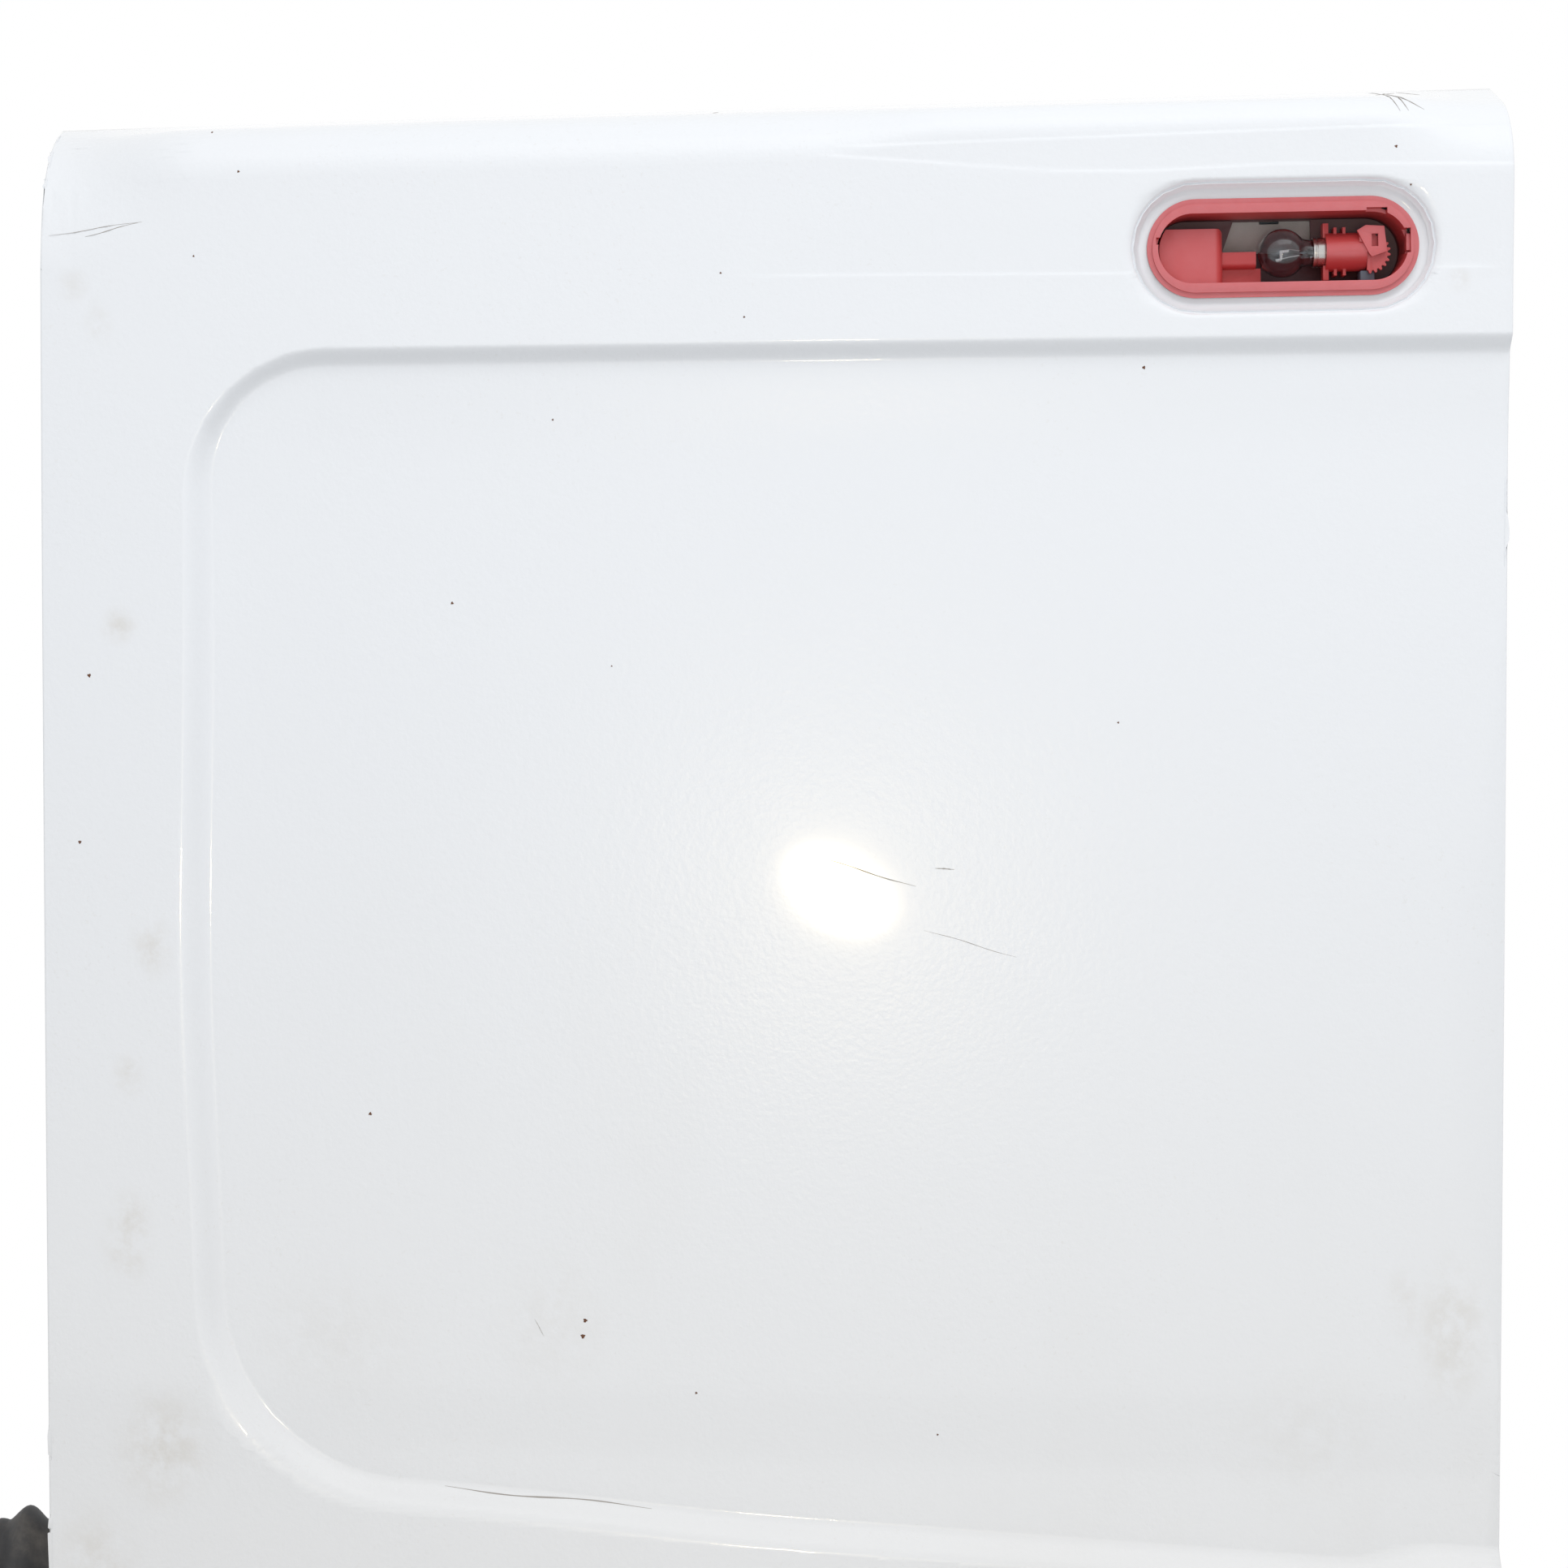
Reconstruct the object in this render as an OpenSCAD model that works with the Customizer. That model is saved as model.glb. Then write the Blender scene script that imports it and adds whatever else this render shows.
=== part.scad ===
// Rear barn door of a panel van used as a campervan, hinged at its left edge, seen from outside.
// Door coordinates: x from the hinge edge to the closing edge, y from the outer skin inwards,
// z from the bottom edge upwards. The finished part is moved so that its origin lies at the middle
// of the lower hinge's mounting face.

/* [Door leaf] */
// Width of the skin
door_w = 750; // [700:1:820]
// Height of the skin at the closing edge
door_h = 1390; // [1340:1:1500]
// Fall of the top edge from the closing edge to the hinge edge
top_fall = 19; // [0:1:30]
// Depth from the skin to the inner face of the frame
door_depth = 48; // [42:1:60]
// Thickness of the outer skin
skin_t = 1.2; // [0.8:0.1:2]
// Thickness of the inner pressings
inner_t = 1.2; // [0.8:0.1:2]
// Height of the curved roof bend at the hinge edge
roof_drop = 81; // [70:1:90]
// Radius of the roof bend at the hinge edge
roof_r = 85; // [80:1:110]
// Lean of the roof at the top edge
roof_lean = 68; // [55:1:72]

/* [Window field] */
// Depth of the sunk field
field_depth = 10; // [4:0.5:14]
// Width of the step round the field
field_step = 15; // [10:1:24]
// Distance of the field from the hinge edge
field_left = 80; // [70:1:100]
// Distance of the field's top below the door's top, at the closing edge
field_drop = 139; // [130:1:160]
// Height of the field's bottom above the door's bottom, at the closing edge
field_low = 625; // [580:1:660]
// Rise of the field's bottom towards the hinge edge, over the door's width
field_rise = 53; // [0:1:70]
// Radius of the field's top corner
field_r_top = 66; // [40:1:90]
// Radius of the field's bottom corner
field_r_low = 95; // [60:1:120]

/* [Brake lamp] */
// Middle of the lamp from the closing edge
lamp_inset = 116; // [110:1:130]
// Middle of the lamp below the door's top
lamp_drop = 90; // [84:1:94]
// Tilt of the lamp, as the roof line rises
lamp_tilt = 1; // [0:0.25:2]
// Length of the lamp's flange
lamp_w = 138; // [120:1:144]
// Height of the lamp's flange
lamp_h = 50; // [40:1:54]
// Width of the flange's ring at the ends
lamp_rim = 5.6; // [4:0.1:8]
// Width of the flange's ring along the top and bottom
lamp_band = 7.4; // [6:0.1:9]
// Depth of the lamp's well behind its flange
lamp_well = 32; // [30:1:34]
// Wall of the lamp's moulding
lamp_wall = 2; // [1.5:0.1:3]
// Depth of the dish in the skin
dish_depth = 7; // [4:0.5:10]
// Radius of the bulb's glass
bulb_r = 12.5; // [10:0.5:14]

/* [Plate recess] */
// Width of the recess for a number plate
plate_w = 536; // [500:1:540]
// Height of the recess
plate_h = 132; // [115:1:140]
// Middle of the recess from the middle of the door, towards the hinge edge
plate_off = 9; // [0:1:20]
// Bottom of the recess above the door's bottom
plate_z = 322; // [300:1:340]
// Depth of the recess
plate_depth = 8; // [4:0.5:10]

/* [Hinges] */
// Height of the lower hinge above the door's bottom
hinge_low = 230; // [180:1:260]
// Distance of the upper hinge below the door's top
hinge_drop = 260; // [240:1:310]
// Pin axis from the hinge edge and from the skin
pin_inset = 16; // [15:0.5:17]
// Radius of the pin
pin_r = 4; // [3:0.1:5]
// Running clearance of the pin in the door's knuckles
pin_play = 0.06; // [0.02:0.01:0.1]
// Outer radius of the knuckles
knuckle_r = 8; // [7:0.5:9]
// Height of the body leaf
leaf_h = 90; // [84:1:110]
// Thickness of the leaves
leaf_t = 6; // [4:0.5:8]
// Distance between the two bolts of a body leaf
bolt_pitch = 62; // [56:1:70]
// Radius of the bolt holes
bolt_hole_r = 4.5; // [3.5:0.1:5.5]

/* [Hidden] */
$fn = 48;
fit = 0.3;

// Blends and small helpers
function clamp01(t) = min(1, max(0, t));
function ease(t) = let (c = clamp01(t)) c*c*(3 - 2*c);
function mix(a, b, t) = a + (b - a)*t;
function mix2(p, q, t) = [mix(p[0], q[0], t), mix(p[1], q[1], t)];
function span(a, b, n) = [for (i = [0:n]) mix(a, b, i/n)];
function reversed(v) = [for (i = [len(v) - 1:-1:0]) v[i]];
function rest(v) = [for (i = [1:len(v) - 1]) v[i]];
function flat1(v) = [for (a = v) for (b = a) b];

// Places worked out from the door's edges, and those of pieces that pass through the frame's walls
lamp_x = door_w - lamp_inset;
plate_x = door_w/2 - plate_off;
hinge_high = door_h - hinge_drop;
latch_z = 515;
gaiter_z = 625;
gaiter_y = 28.5;
gaiter_neck = 8;

// Form of the outer skin as y over (x, z)
crown_side = 6;
crown_reach = 0.55;
crown_up = 8;
roof_far_r = 45;
roof_far_drop = 54;
pad_inset = 355;
pad_from = door_w - pad_inset;
pad_run = 70;
pad_low_drop = 106;
pad_lean = 1.6;

function top_z(x) = door_h - top_fall*(1 - x/door_w);
function crown(x, z) =
    crown_side*pow(max(0, 1 - x/(crown_reach*door_w)), 2)
    + crown_up*pow((z - door_h/2)/(door_h/2), 2);
function bend(h, r) =
    let (arc = r*sin(roof_lean))
    h <= 0 ? 0
    : h < arc ? r - sqrt(r*r - h*h)
    : r*(1 - cos(roof_lean)) + (h - arc)*tan(roof_lean);
function pad_share(x) = ease((x - pad_from)/pad_run);
function roof(x, z) =
    let (m = pad_share(x),
        foot = top_z(x) - mix(roof_drop, roof_far_drop, m),
        low = top_z(x) - pad_low_drop,
        lean = m*pad_lean*clamp01((z - low)/(door_h - roof_far_drop - low)))
    bend(z - foot, mix(roof_r, roof_far_r, m)) - lean;

// The window field's outline lies in a straightened frame: a from its left side, b from its top.
field_skew = 6;
field_top_slope = 0.0104;
function field_top(x) = door_h - field_drop - field_top_slope*(door_w - x);
function field_bottom(x) = field_low + field_rise*(1 - x/door_w);
field_tall = field_top(field_left) - field_bottom(field_left);
function field_z(x, b) = field_top(x) + b*(field_top(x) - field_bottom(x))/field_tall;
function field_b(x, z) = (z - field_top(x))*field_tall/(field_top(x) - field_bottom(x));
function field_x(a, b) = field_left + a + field_skew*pow(b/field_tall, 2);
function field_point(a, b) = let (x = field_x(a, b)) [x, field_z(x, b)];
function field_inset(x, z) =
    let (b = field_b(x, z),
        a = x - field_left - field_skew*pow(b/field_tall, 2),
        up = b + field_r_top,
        down = -(b + field_tall - field_r_low))
    (a < field_r_top && up > 0) ? field_r_top - norm([a - field_r_top, up])
    : (a < field_r_low && down > 0) ? field_r_low - norm([a - field_r_low, down])
    : min(a, -b, b + field_tall);
function field(x, z) = field_depth*ease((field_inset(x, z) + field_step/2)/field_step);

// The dish round the lamp is a slot with round ends.
lamp_z = door_h - lamp_drop;
dish_gap = 2;
dish_wall = 7;
function lamp_u(x, z) = (x - lamp_x)*cos(lamp_tilt) + (z - lamp_z)*sin(lamp_tilt);
function lamp_v(x, z) = (z - lamp_z)*cos(lamp_tilt) - (x - lamp_x)*sin(lamp_tilt);
function slot_reach(u, v, w, h) = norm([max(0, abs(u) - (w - h)/2), v]) - h/2;
function dish(x, z) =
    let (out = slot_reach(lamp_u(x, z), lamp_v(x, z), lamp_w, lamp_h) - dish_gap)
    dish_depth*(1 - ease(out/dish_wall));

// The plate recess has rounded corners.
plate_r = 18;
plate_wall = 10;
function box_reach(u, v, w, h, r) =
    let (p = abs(u) - w/2 + r, q = abs(v) - h/2 + r)
    norm([max(0, p), max(0, q)]) + min(0, max(p, q)) - r;
function plate(x, z) =
    plate_depth*(1 - ease(box_reach(x - plate_x, z - plate_z - plate_h/2, plate_w, plate_h, plate_r)
        /plate_wall + 0.5));

function skin_y(x, z) = crown(x, z) + roof(x, z) + field(x, z) + dish(x, z) + plate(x, z);
function skin_normal(x, z) =
    let (e = 0.4,
        n = [-(skin_y(x + e, z) - skin_y(x - e, z))/(2*e), 1, -(skin_y(x, z + e) - skin_y(x, z - e))/(2*e)])
    n/norm(n);
function skin_point(x, z, off = 0) = [x, skin_y(x, z), z] + off*skin_normal(x, z);

// A sheet over a grid of points in (x, z): rows[j][i], both faces and the four edges
function tri(a, b, c, d) = [[a, b, c], [a, c, d]];
function grid_quads(ni, nj, holes) = [for (j = [0:nj - 1]) for (i = [0:ni - 1])
    if (len([for (h = holes) if (i >= h[0] && i < h[1] && j >= h[2] && j < h[3]) 1]) == 0)
        [j*(ni + 1) + i, j*(ni + 1) + i + 1, (j + 1)*(ni + 1) + i + 1, (j + 1)*(ni + 1) + i]];
// Indices round a block of the grid, in order
function block_loop(ni, h) = concat(
    [for (i = [h[0]:h[1] - 1]) h[2]*(ni + 1) + i],
    [for (j = [h[2]:h[3] - 1]) j*(ni + 1) + h[1]],
    [for (i = [h[1]:-1:h[0] + 1]) h[3]*(ni + 1) + i],
    [for (j = [h[3]:-1:h[2] + 1]) j*(ni + 1) + h[0]]);
function ring_quads(outer, inner) = let (n = len(outer)) [for (k = [0:n - 1])
    [outer[k], outer[(k + 1) % n], inner[(k + 1) % n], inner[k]]];

// Solid from front points, back points, quads and the free loops that walls close
module sheet(front, back, quads, loops) {
    n = len(front);
    walls = [for (loop = loops) for (k = [0:len(loop) - 1])
        let (p = loop[k], q = loop[(k + 1) % len(loop)]) [p, q, q + n, p + n]];
    polyhedron(
        points = concat(front, back),
        faces = concat(
            flat1([for (q = quads) tri(q[3], q[2], q[1], q[0])]),
            flat1([for (q = quads) tri(q[0] + n, q[1] + n, q[2] + n, q[3] + n)]),
            flat1([for (q = walls) tri(q[0], q[1], q[2], q[3])])),
        convexity = 6);
}

// Stations of the skin's grid: along the top, round the corner, down the side, and along the bottom
lamp_cells = 12;
lamp_rows = 6;
block_w = lamp_w + 38;
block_h = lamp_h + 30;
block_x0 = lamp_x + block_w/2;
block_x1 = lamp_x - block_w/2;
corner_n = 6;
side_n = 6;
field_x0 = field_left + field_r_top;
field_x1 = field_left + field_skew + field_r_low;
pad_xs = span(pad_from, pad_from + pad_run, 5);
top_xs = concat([door_w, mix(door_w, block_x0, 0.5)], span(block_x0, block_x1, lamp_cells),
    [mix(block_x1, pad_from + pad_run, 0.5)], reversed(pad_xs), rest(span(pad_from, field_x0, 4)));
plate_l = plate_x - plate_w/2;
plate_rt = plate_x + plate_w/2;
function wall_lines(c, dir) = [for (k = [-1:1]) c + dir*k*plate_wall/2];
low_right = concat([door_w, mix(door_w, plate_rt, 0.5)], wall_lines(plate_rt, -1), [plate_rt - plate_r]);
low_left = concat([plate_l + plate_r], wall_lines(plate_l, -1), [plate_l*0.4]);
low_mid_n = 6;
low_mid = [for (i = [1:low_mid_n - 1]) mix(plate_rt - plate_r, plate_l + plate_r, i/low_mid_n)];
low_xs = concat(low_right, low_mid, low_left);
low_n = len(low_xs) - 1;
top_n = len(top_xs) - 1;
grid_n = top_n + corner_n + side_n + corner_n + low_n;

function field_curve(d) = concat(
    [for (x = top_xs) [x, field_z(x, -d)]],
    [for (k = [1:corner_n]) let (f = 90*k/corner_n, r = field_r_top - d)
        field_point(field_r_top - r*sin(f), -field_r_top + r*cos(f))],
    [for (k = [1:side_n]) field_point(d, mix(-field_r_top, field_r_low - field_tall, k/side_n))],
    [for (k = [1:corner_n]) let (f = 90*k/corner_n, r = field_r_low - d)
        field_point(field_r_low - r*cos(f), field_r_low - field_tall - r*sin(f))],
    [for (k = [1:low_n]) let (x = mix(field_x1, door_w, k/low_n)) [x, field_z(x, d - field_tall)]]);

// The door's own outline, with its corners at the middle stations of the bends
edge_flare = 2.5;
edge_flare_run = 45;
function edge_x(z) = -edge_flare*ease((z - top_z(0) + edge_flare_run)/edge_flare_run);
function edge_top(x) = [x, top_z(x)];
function edge_side(z) = [edge_x(z), z];
side_z0 = field_point(0, -field_r_top)[1];
side_z1 = field_point(0, field_r_low - field_tall)[1];
low_start = low_xs[low_n];
door_curve = concat(
    [for (x = top_xs) edge_top(x)],
    [for (k = [1:corner_n]) let (t = 2*k/corner_n)
        t <= 1 ? edge_top(mix(field_x0, edge_x(top_z(0)), t)) : edge_side(mix(top_z(0), side_z0, t - 1))],
    [for (k = [1:side_n]) edge_side(mix(side_z0, side_z1, k/side_n))],
    [for (k = [1:corner_n]) let (t = 2*k/corner_n)
        t <= 1 ? [0, mix(side_z1, 0, t)] : [mix(0, low_start, t - 1), 0]],
    [for (k = [1:low_n]) [low_xs[low_n - k], 0]]);

// Shares of the way from the field to the edge, at the top and side; below the field, heights
rows_top = [0, 0.03, 0.13, 0.23, 0.33, 0.43, 0.53, 0.635, 0.72, 0.79, 0.86, 0.93, 1];
shift_rows = 3;
low_shift = 66;
low_shift_z = plate_z + plate_h + low_shift;
low_zs = concat([low_shift_z], wall_lines(plate_z + plate_h, -1), [plate_z + plate_h/2],
    wall_lines(plate_z, -1), [plate_z*0.55, 0]);
function row_z(z, j) = j < shift_rows ? mix(z, low_shift_z, j/shift_rows) : low_zs[j - shift_rows];
rows_n = len(rows_top) - 1;
side_end = top_n + corner_n + side_n;
low_corner = side_end + corner_n/2;
low_from = side_end + corner_n;
// A point between the field and the edge: beside the field, at the lower corner, and below the field
function beside_point(i, j) = mix2(field_curve_out[i], door_curve[i], rows_top[j]);
function corner_point(j) = let (p = field_curve_out[low_corner]) [p[0]*(1 - rows_top[j]), row_z(p[1], j)];
function below_point(i, j) = let (p = field_curve_out[i], q = door_curve[i])
    [mix(p[0], q[0], min(1, j/shift_rows)), row_z(p[1], j)];
// Stations of the lower bend lie between its two sides and keep their bow near the field
function bend_point(i, j, i0, i1, p0, p1) =
    let (t = (i - i0)/(i1 - i0), c = field_curve_out,
        bow = c[i] - mix2(c[i0], c[i1], t))
    mix2(p0, p1, t) + bow*(1 - rows_top[j]);
function outer_point(i, j) =
    i <= side_end ? beside_point(i, j)
    : i <= low_corner ? bend_point(i, j, side_end, low_corner, beside_point(side_end, j), corner_point(j))
    : i <= low_from ? bend_point(i, j, low_corner, low_from, corner_point(j), below_point(low_from, j))
    : below_point(i, j);

spine_in = 100;
spine = [for (i = [0:grid_n]) [door_w, mix(door_h - field_drop - spine_in, field_low + spine_in, i/grid_n)]];
field_curve_in = field_curve(field_step/2);
field_curve_out = field_curve(-field_step/2);
floor_n = 5;
step_n = 5;
skin_rows = concat(
    [for (j = [0:floor_n - 1]) [for (i = [0:grid_n]) mix2(spine[i], field_curve_in[i], j/floor_n)]],
    [for (j = [0:step_n - 1]) field_curve(mix(field_step, -field_step, j/step_n)/2)],
    [for (j = [0:rows_n]) [for (i = [0:grid_n]) outer_point(i, j)]]);
skin_nj = len(skin_rows) - 1;
lamp_hole_block = [2, 2 + lamp_cells, floor_n + step_n + 1, floor_n + step_n + 1 + lamp_rows];

// Points on a slot with round ends that match the points round a block of the grid
function slot_point(t, w, h) =
    let (r = h/2, s = (w - h)/2, c = cos(t), q = sin(t), k = 1/max(abs(c)/(s + r), abs(q)/r, 0.001),
        u = c*k, v = q*k, over = abs(u) > s)
    over ? let (du = abs(u) - s, g = r/norm([du, v])) [sign(u)*(s + du*g), v*g] : [u, sign(v)*r];
function slot_ring(loop_pts, w, h) = [for (p = loop_pts)
    let (u = lamp_u(p[0], p[1]), v = lamp_v(p[0], p[1]),
        t = atan2(v/block_h*h, u/block_w*w), s = slot_point(t, w, h))
    [lamp_x + s[0]*cos(lamp_tilt) - s[1]*sin(lamp_tilt), lamp_z + s[0]*sin(lamp_tilt) + s[1]*cos(lamp_tilt)]];
hole_in = lamp_rim - lamp_wall - 1;

module outer_skin() {
    grid = flat1(skin_rows);
    loop = block_loop(grid_n, lamp_hole_block);
    loop_pts = [for (k = loop) grid[k]];
    reach = [dish_gap + dish_wall, dish_gap + dish_wall*0.7, dish_gap + dish_wall*0.4,
        dish_gap + dish_wall*0.1, dish_gap - 1, -hole_in];
    rings = [for (d = reach) slot_ring(loop_pts, lamp_w + 2*d, lamp_h + 2*d)];
    flat_pts = concat(grid, flat1(rings));
    m = len(loop);
    ids = concat([loop], [for (k = [0:len(reach) - 1]) [for (q = [0:m - 1]) len(grid) + k*m + q]]);
    quads = concat(grid_quads(grid_n, skin_nj, [lamp_hole_block]),
        flat1([for (k = [0:len(reach) - 1]) ring_quads(ids[k], ids[k + 1])]));
    edge = block_loop(grid_n, [0, grid_n, 0, skin_nj]);
    color("ghostwhite")
        sheet([for (p = flat_pts) skin_point(p[0], p[1])],
            [for (p = flat_pts) skin_point(p[0], p[1], skin_t)], quads, [edge, reversed(ids[len(reach)])]);
}

// Inner frame: a pressed ring whose flange lies on the skin and whose face looks inwards
flange_in = 2;
wall_in = 29;
stile_w = 96;
rail_w = 86;
rim_n = 4;
rim_side_n = 14;
rim_low_n = 10;
// The face steps back towards the top, where the skin bends inwards
face_deepen = 34;
face_drop = 130;
face_run = 115;
function frame_face(z) = door_depth + face_deepen*ease((z - (door_h - face_drop))/face_run);
function frame_z(x, z) = z*top_z(x)/door_h;
step_zs = [for (k = [-2:2]) k*field_step/4];
rim_first = 40;
step_room = 14;
roof_drops = [100, 70, 45];
rim_right = concat(span(rim_first, field_low - step_room, 4), [for (k = step_zs) field_bottom(door_w) + k],
    span(field_low + step_room, door_h - field_drop - step_room, 5),
    [for (k = step_zs) door_h - field_drop + k], [for (d = roof_drops) door_h - d]);
rim_last = rim_right[len(rim_right) - 1];
rim_scaled = 40;
rim_top_end = 90;
rim_top_out = 30;
rim_top_xs = concat(span(field_left, pad_from, 5), rest(pad_xs),
    rest(span(pad_from + pad_run, door_w - rim_top_end, 4)));
rim_top_x0 = field_left - rim_top_out;
rim_top_x1 = door_w - rim_top_end + rim_top_out;
// Station k of a rounded rectangle at an inset, clockwise from the top of the closing edge
function rim_points(d, r) =
    let (x0 = d, x1 = door_w - d, z0 = d, z1 = door_h - d)
    concat(
        [for (z = reversed(rim_right)) [x1, d < rim_scaled ? min(z1 - r, max(z0 + r, z))
            : mix(z0 + r, z1 - r, (z - rim_first)/(rim_last - rim_first))]],
        [for (k = [1:rim_n]) let (f = 90*k/rim_n) [x1 - r + r*cos(f), z0 + r - r*sin(f)]],
        [for (k = [1:rim_low_n]) [mix(x1 - r, x0 + r, k/rim_low_n), z0]],
        [for (k = [1:rim_n]) let (f = 90*k/rim_n) [x0 + r - r*sin(f), z0 + r - r*cos(f)]],
        [for (k = [1:rim_side_n]) [x0, mix(z0 + r, z1 - r, k/rim_side_n)]],
        [for (k = [1:rim_n]) let (f = 90*k/rim_n) [x0 + r - r*cos(f), z1 - r + r*sin(f)]],
        [for (x = rim_top_xs) [d < rim_scaled ? x
            : mix(x0 + r, x1 - r, (x - rim_top_x0)/(rim_top_x1 - rim_top_x0)), z1]],
        [[x1 - r, z1]],
        [for (k = [1:rim_n - 1]) let (f = 90*k/rim_n) [x1 - r + r*sin(f), z1 - r + r*cos(f)]]);
mastic = 0.7;
skin_seat = skin_t + mastic;
// Profile rows of the frame: inset, corner radius, and where y lies: 0 on the skin, 1 on the face
wall_d = wall_in + inner_t;
frame_rows = [[flange_in, 6, 0, 0], [wall_d - 5, 14, 0, 0], [wall_d - 1, 16, 0, 3],
    [wall_d, 16, 0, 9], [wall_d, 16, 1, -7], [wall_d + 3, 18, 1, -1.6], [wall_d + 8, 20, 1, 0],
    [stile_w - 8, 34, 1, 0], [stile_w - 2, 38, 1, -2], [stile_w, 40, 1, -9]];
function frame_y(x, z, on_face, add) =
    let (c = min(door_w - 1, max(1, x)))
    on_face == 1 ? frame_face(z) + add : skin_y(c, z) + skin_seat/skin_normal(c, z)[1] + add;
function frame_ring(row) = [for (p = rim_points(row[0], row[1]))
    let (z = frame_z(p[0], p[1])) [p[0], frame_y(p[0], z, row[2], row[3]), z]];
module inner_frame() {
    rings = [for (row = frame_rows) frame_ring(row)];
    n = len(rings[0]);
    m = len(rings);
    // Normal of the profile at each row, from its neighbours
    normals = [for (j = [0:m - 1]) [for (i = [0:n - 1])
        let (a = rings[max(0, j - 1)][i], b = rings[min(m - 1, j + 1)][i],
            s = rings[j][(i + 1) % n] - rings[j][(i + n - 1) % n],
            c = cross(s, b - a)) c/norm(c)]];
    front = flat1(rings);
    side = flat1(normals);
    back = [for (k = [0:len(front) - 1]) front[k] + inner_t*side[k]];
    quads = [for (j = [0:m - 2]) for (i = [0:n - 1])
        [j*n + i, j*n + (i + 1) % n, (j + 1)*n + (i + 1) % n, (j + 1)*n + i]];
    color("gainsboro") difference() {
        sheet(front, back, quads, [[for (i = [0:n - 1]) i], [for (i = [n - 1:-1:0]) (m - 1)*n + i]]);
        // Slot for the striker, holes for the two bolts, and the hole for the gaiter's neck
        translate([door_w - wall_d - cut_over, striker_y, latch_z - striker_h/2])
            cube([inner_t + 2*cut_over, striker_d, striker_h]);
        translate([rod_x, bolt_y, frame_z(rod_x, door_h - wall_d) - bolt_back])
            cylinder(r = bolt_r + bolt_play, h = inner_t + cut_over + bolt_back);
        translate([rod_x, low_bolt_y, wall_in - cut_over])
            cylinder(r = low_bolt_r + bolt_play, h = inner_t + cut_over + bolt_back);
        translate([wall_in - cut_over, gaiter_y, gaiter_z]) rotate([0, 90, 0])
            cylinder(r = gaiter_neck + fit, h = inner_t + 2*cut_over);
    }
}
cut_over = 1.5;

// A straight pressed rail of hat section along x, flat face inwards
hat_lean = 6;
module hat_rail(x0, x1, z, y0, y1, w, foot) {
    t = inner_t;
    half = [[y0, w/2 + foot], [y0 + t, w/2 + foot], [y0 + t, w/2 + t], [y1, w/2 - hat_lean + t]];
    inside = [[y1 - t, w/2 - hat_lean], [y0, w/2]];
    function below(v) = [for (p = reversed(v)) [p[0], -p[1]]];
    translate([x0, 0, z]) rotate([90, 0, 90])
        linear_extrude(x1 - x0) polygon(concat(half, below(half), below(inside), inside));
}

face_back = door_depth + inner_t + fit;
frame_lip = stile_w + inner_t + fit;
waist_rise = 60;
waist_w = 64;
waist_d = 14;
waist_foot = 8;
module waist_rail() {
    color("gainsboro")
        hat_rail(frame_lip, door_w - frame_lip, field_low + waist_rise, door_depth - waist_d,
            door_depth + inner_t, waist_w, waist_foot);
}

// Two bars behind the skin, joggled at their ends to the back of the frame's face
brace_zs = [for (t = [0.38, 0.7]) mix(field_low, door_h - field_drop, t)];
brace_h = 50;
brace_y = 21;
brace_tab = 30;
brace_rise = 34;
brace_lap = 8;
brace_knee = 12;
module skin_brace() {
    x0 = stile_w - brace_lap - brace_tab;
    y1 = door_depth - fit;
    left = [[x0, y1], [x0 + brace_tab - brace_lap, y1], [x0 + brace_tab + brace_lap, brace_y + brace_knee],
        [x0 + brace_tab + brace_rise, brace_y + inner_t]];
    path = concat(left, [for (p = reversed(left)) [door_w - p[0], p[1]]]);
    color("silver") for (z = brace_zs) translate([0, 0, z - brace_h/2])
        linear_extrude(brace_h) polygon(concat(path, [for (p = reversed(path)) [p[0], p[1] - inner_t]]));
}

// A pad that lies on the back of the skin
module skin_pad(x0, x1, z0, z1, t, n = 4) {
    pts = flat1([for (z = span(z0, z1, n)) [for (x = span(x0, x1, n)) [x, z]]]);
    low = [for (p = pts) skin_point(p[0], p[1], skin_t + pad_glue)];
    high = [for (p = pts) skin_point(p[0], p[1], skin_t + pad_glue + t)];
    sheet(low, high, [for (q = grid_quads(n, n, [])) reversed(q)], [reversed(block_loop(n, [0, n, 0, n]))]);
}
pad_glue = 0.8;
pad_t = 2.4;
pad_w = 180;
pad_h = 70;
pad_gap = 70;
low_pad_w = 260;
low_pad_h = 140;
low_pad_z = plate_z/2 - 35;
module damping_pads() {
    mid_z = (brace_zs[0] + brace_zs[1])/2;
    color("dimgray") {
        for (s = [-1, 1]) let (x = door_w/2 + s*(pad_w + pad_gap)/2)
            skin_pad(x - pad_w/2, x + pad_w/2, mid_z - pad_h/2, mid_z + pad_h/2, pad_t);
        skin_pad(plate_x - low_pad_w/2, plate_x + low_pad_w/2, low_pad_z, low_pad_z + low_pad_h, pad_t);
    }
}

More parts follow.
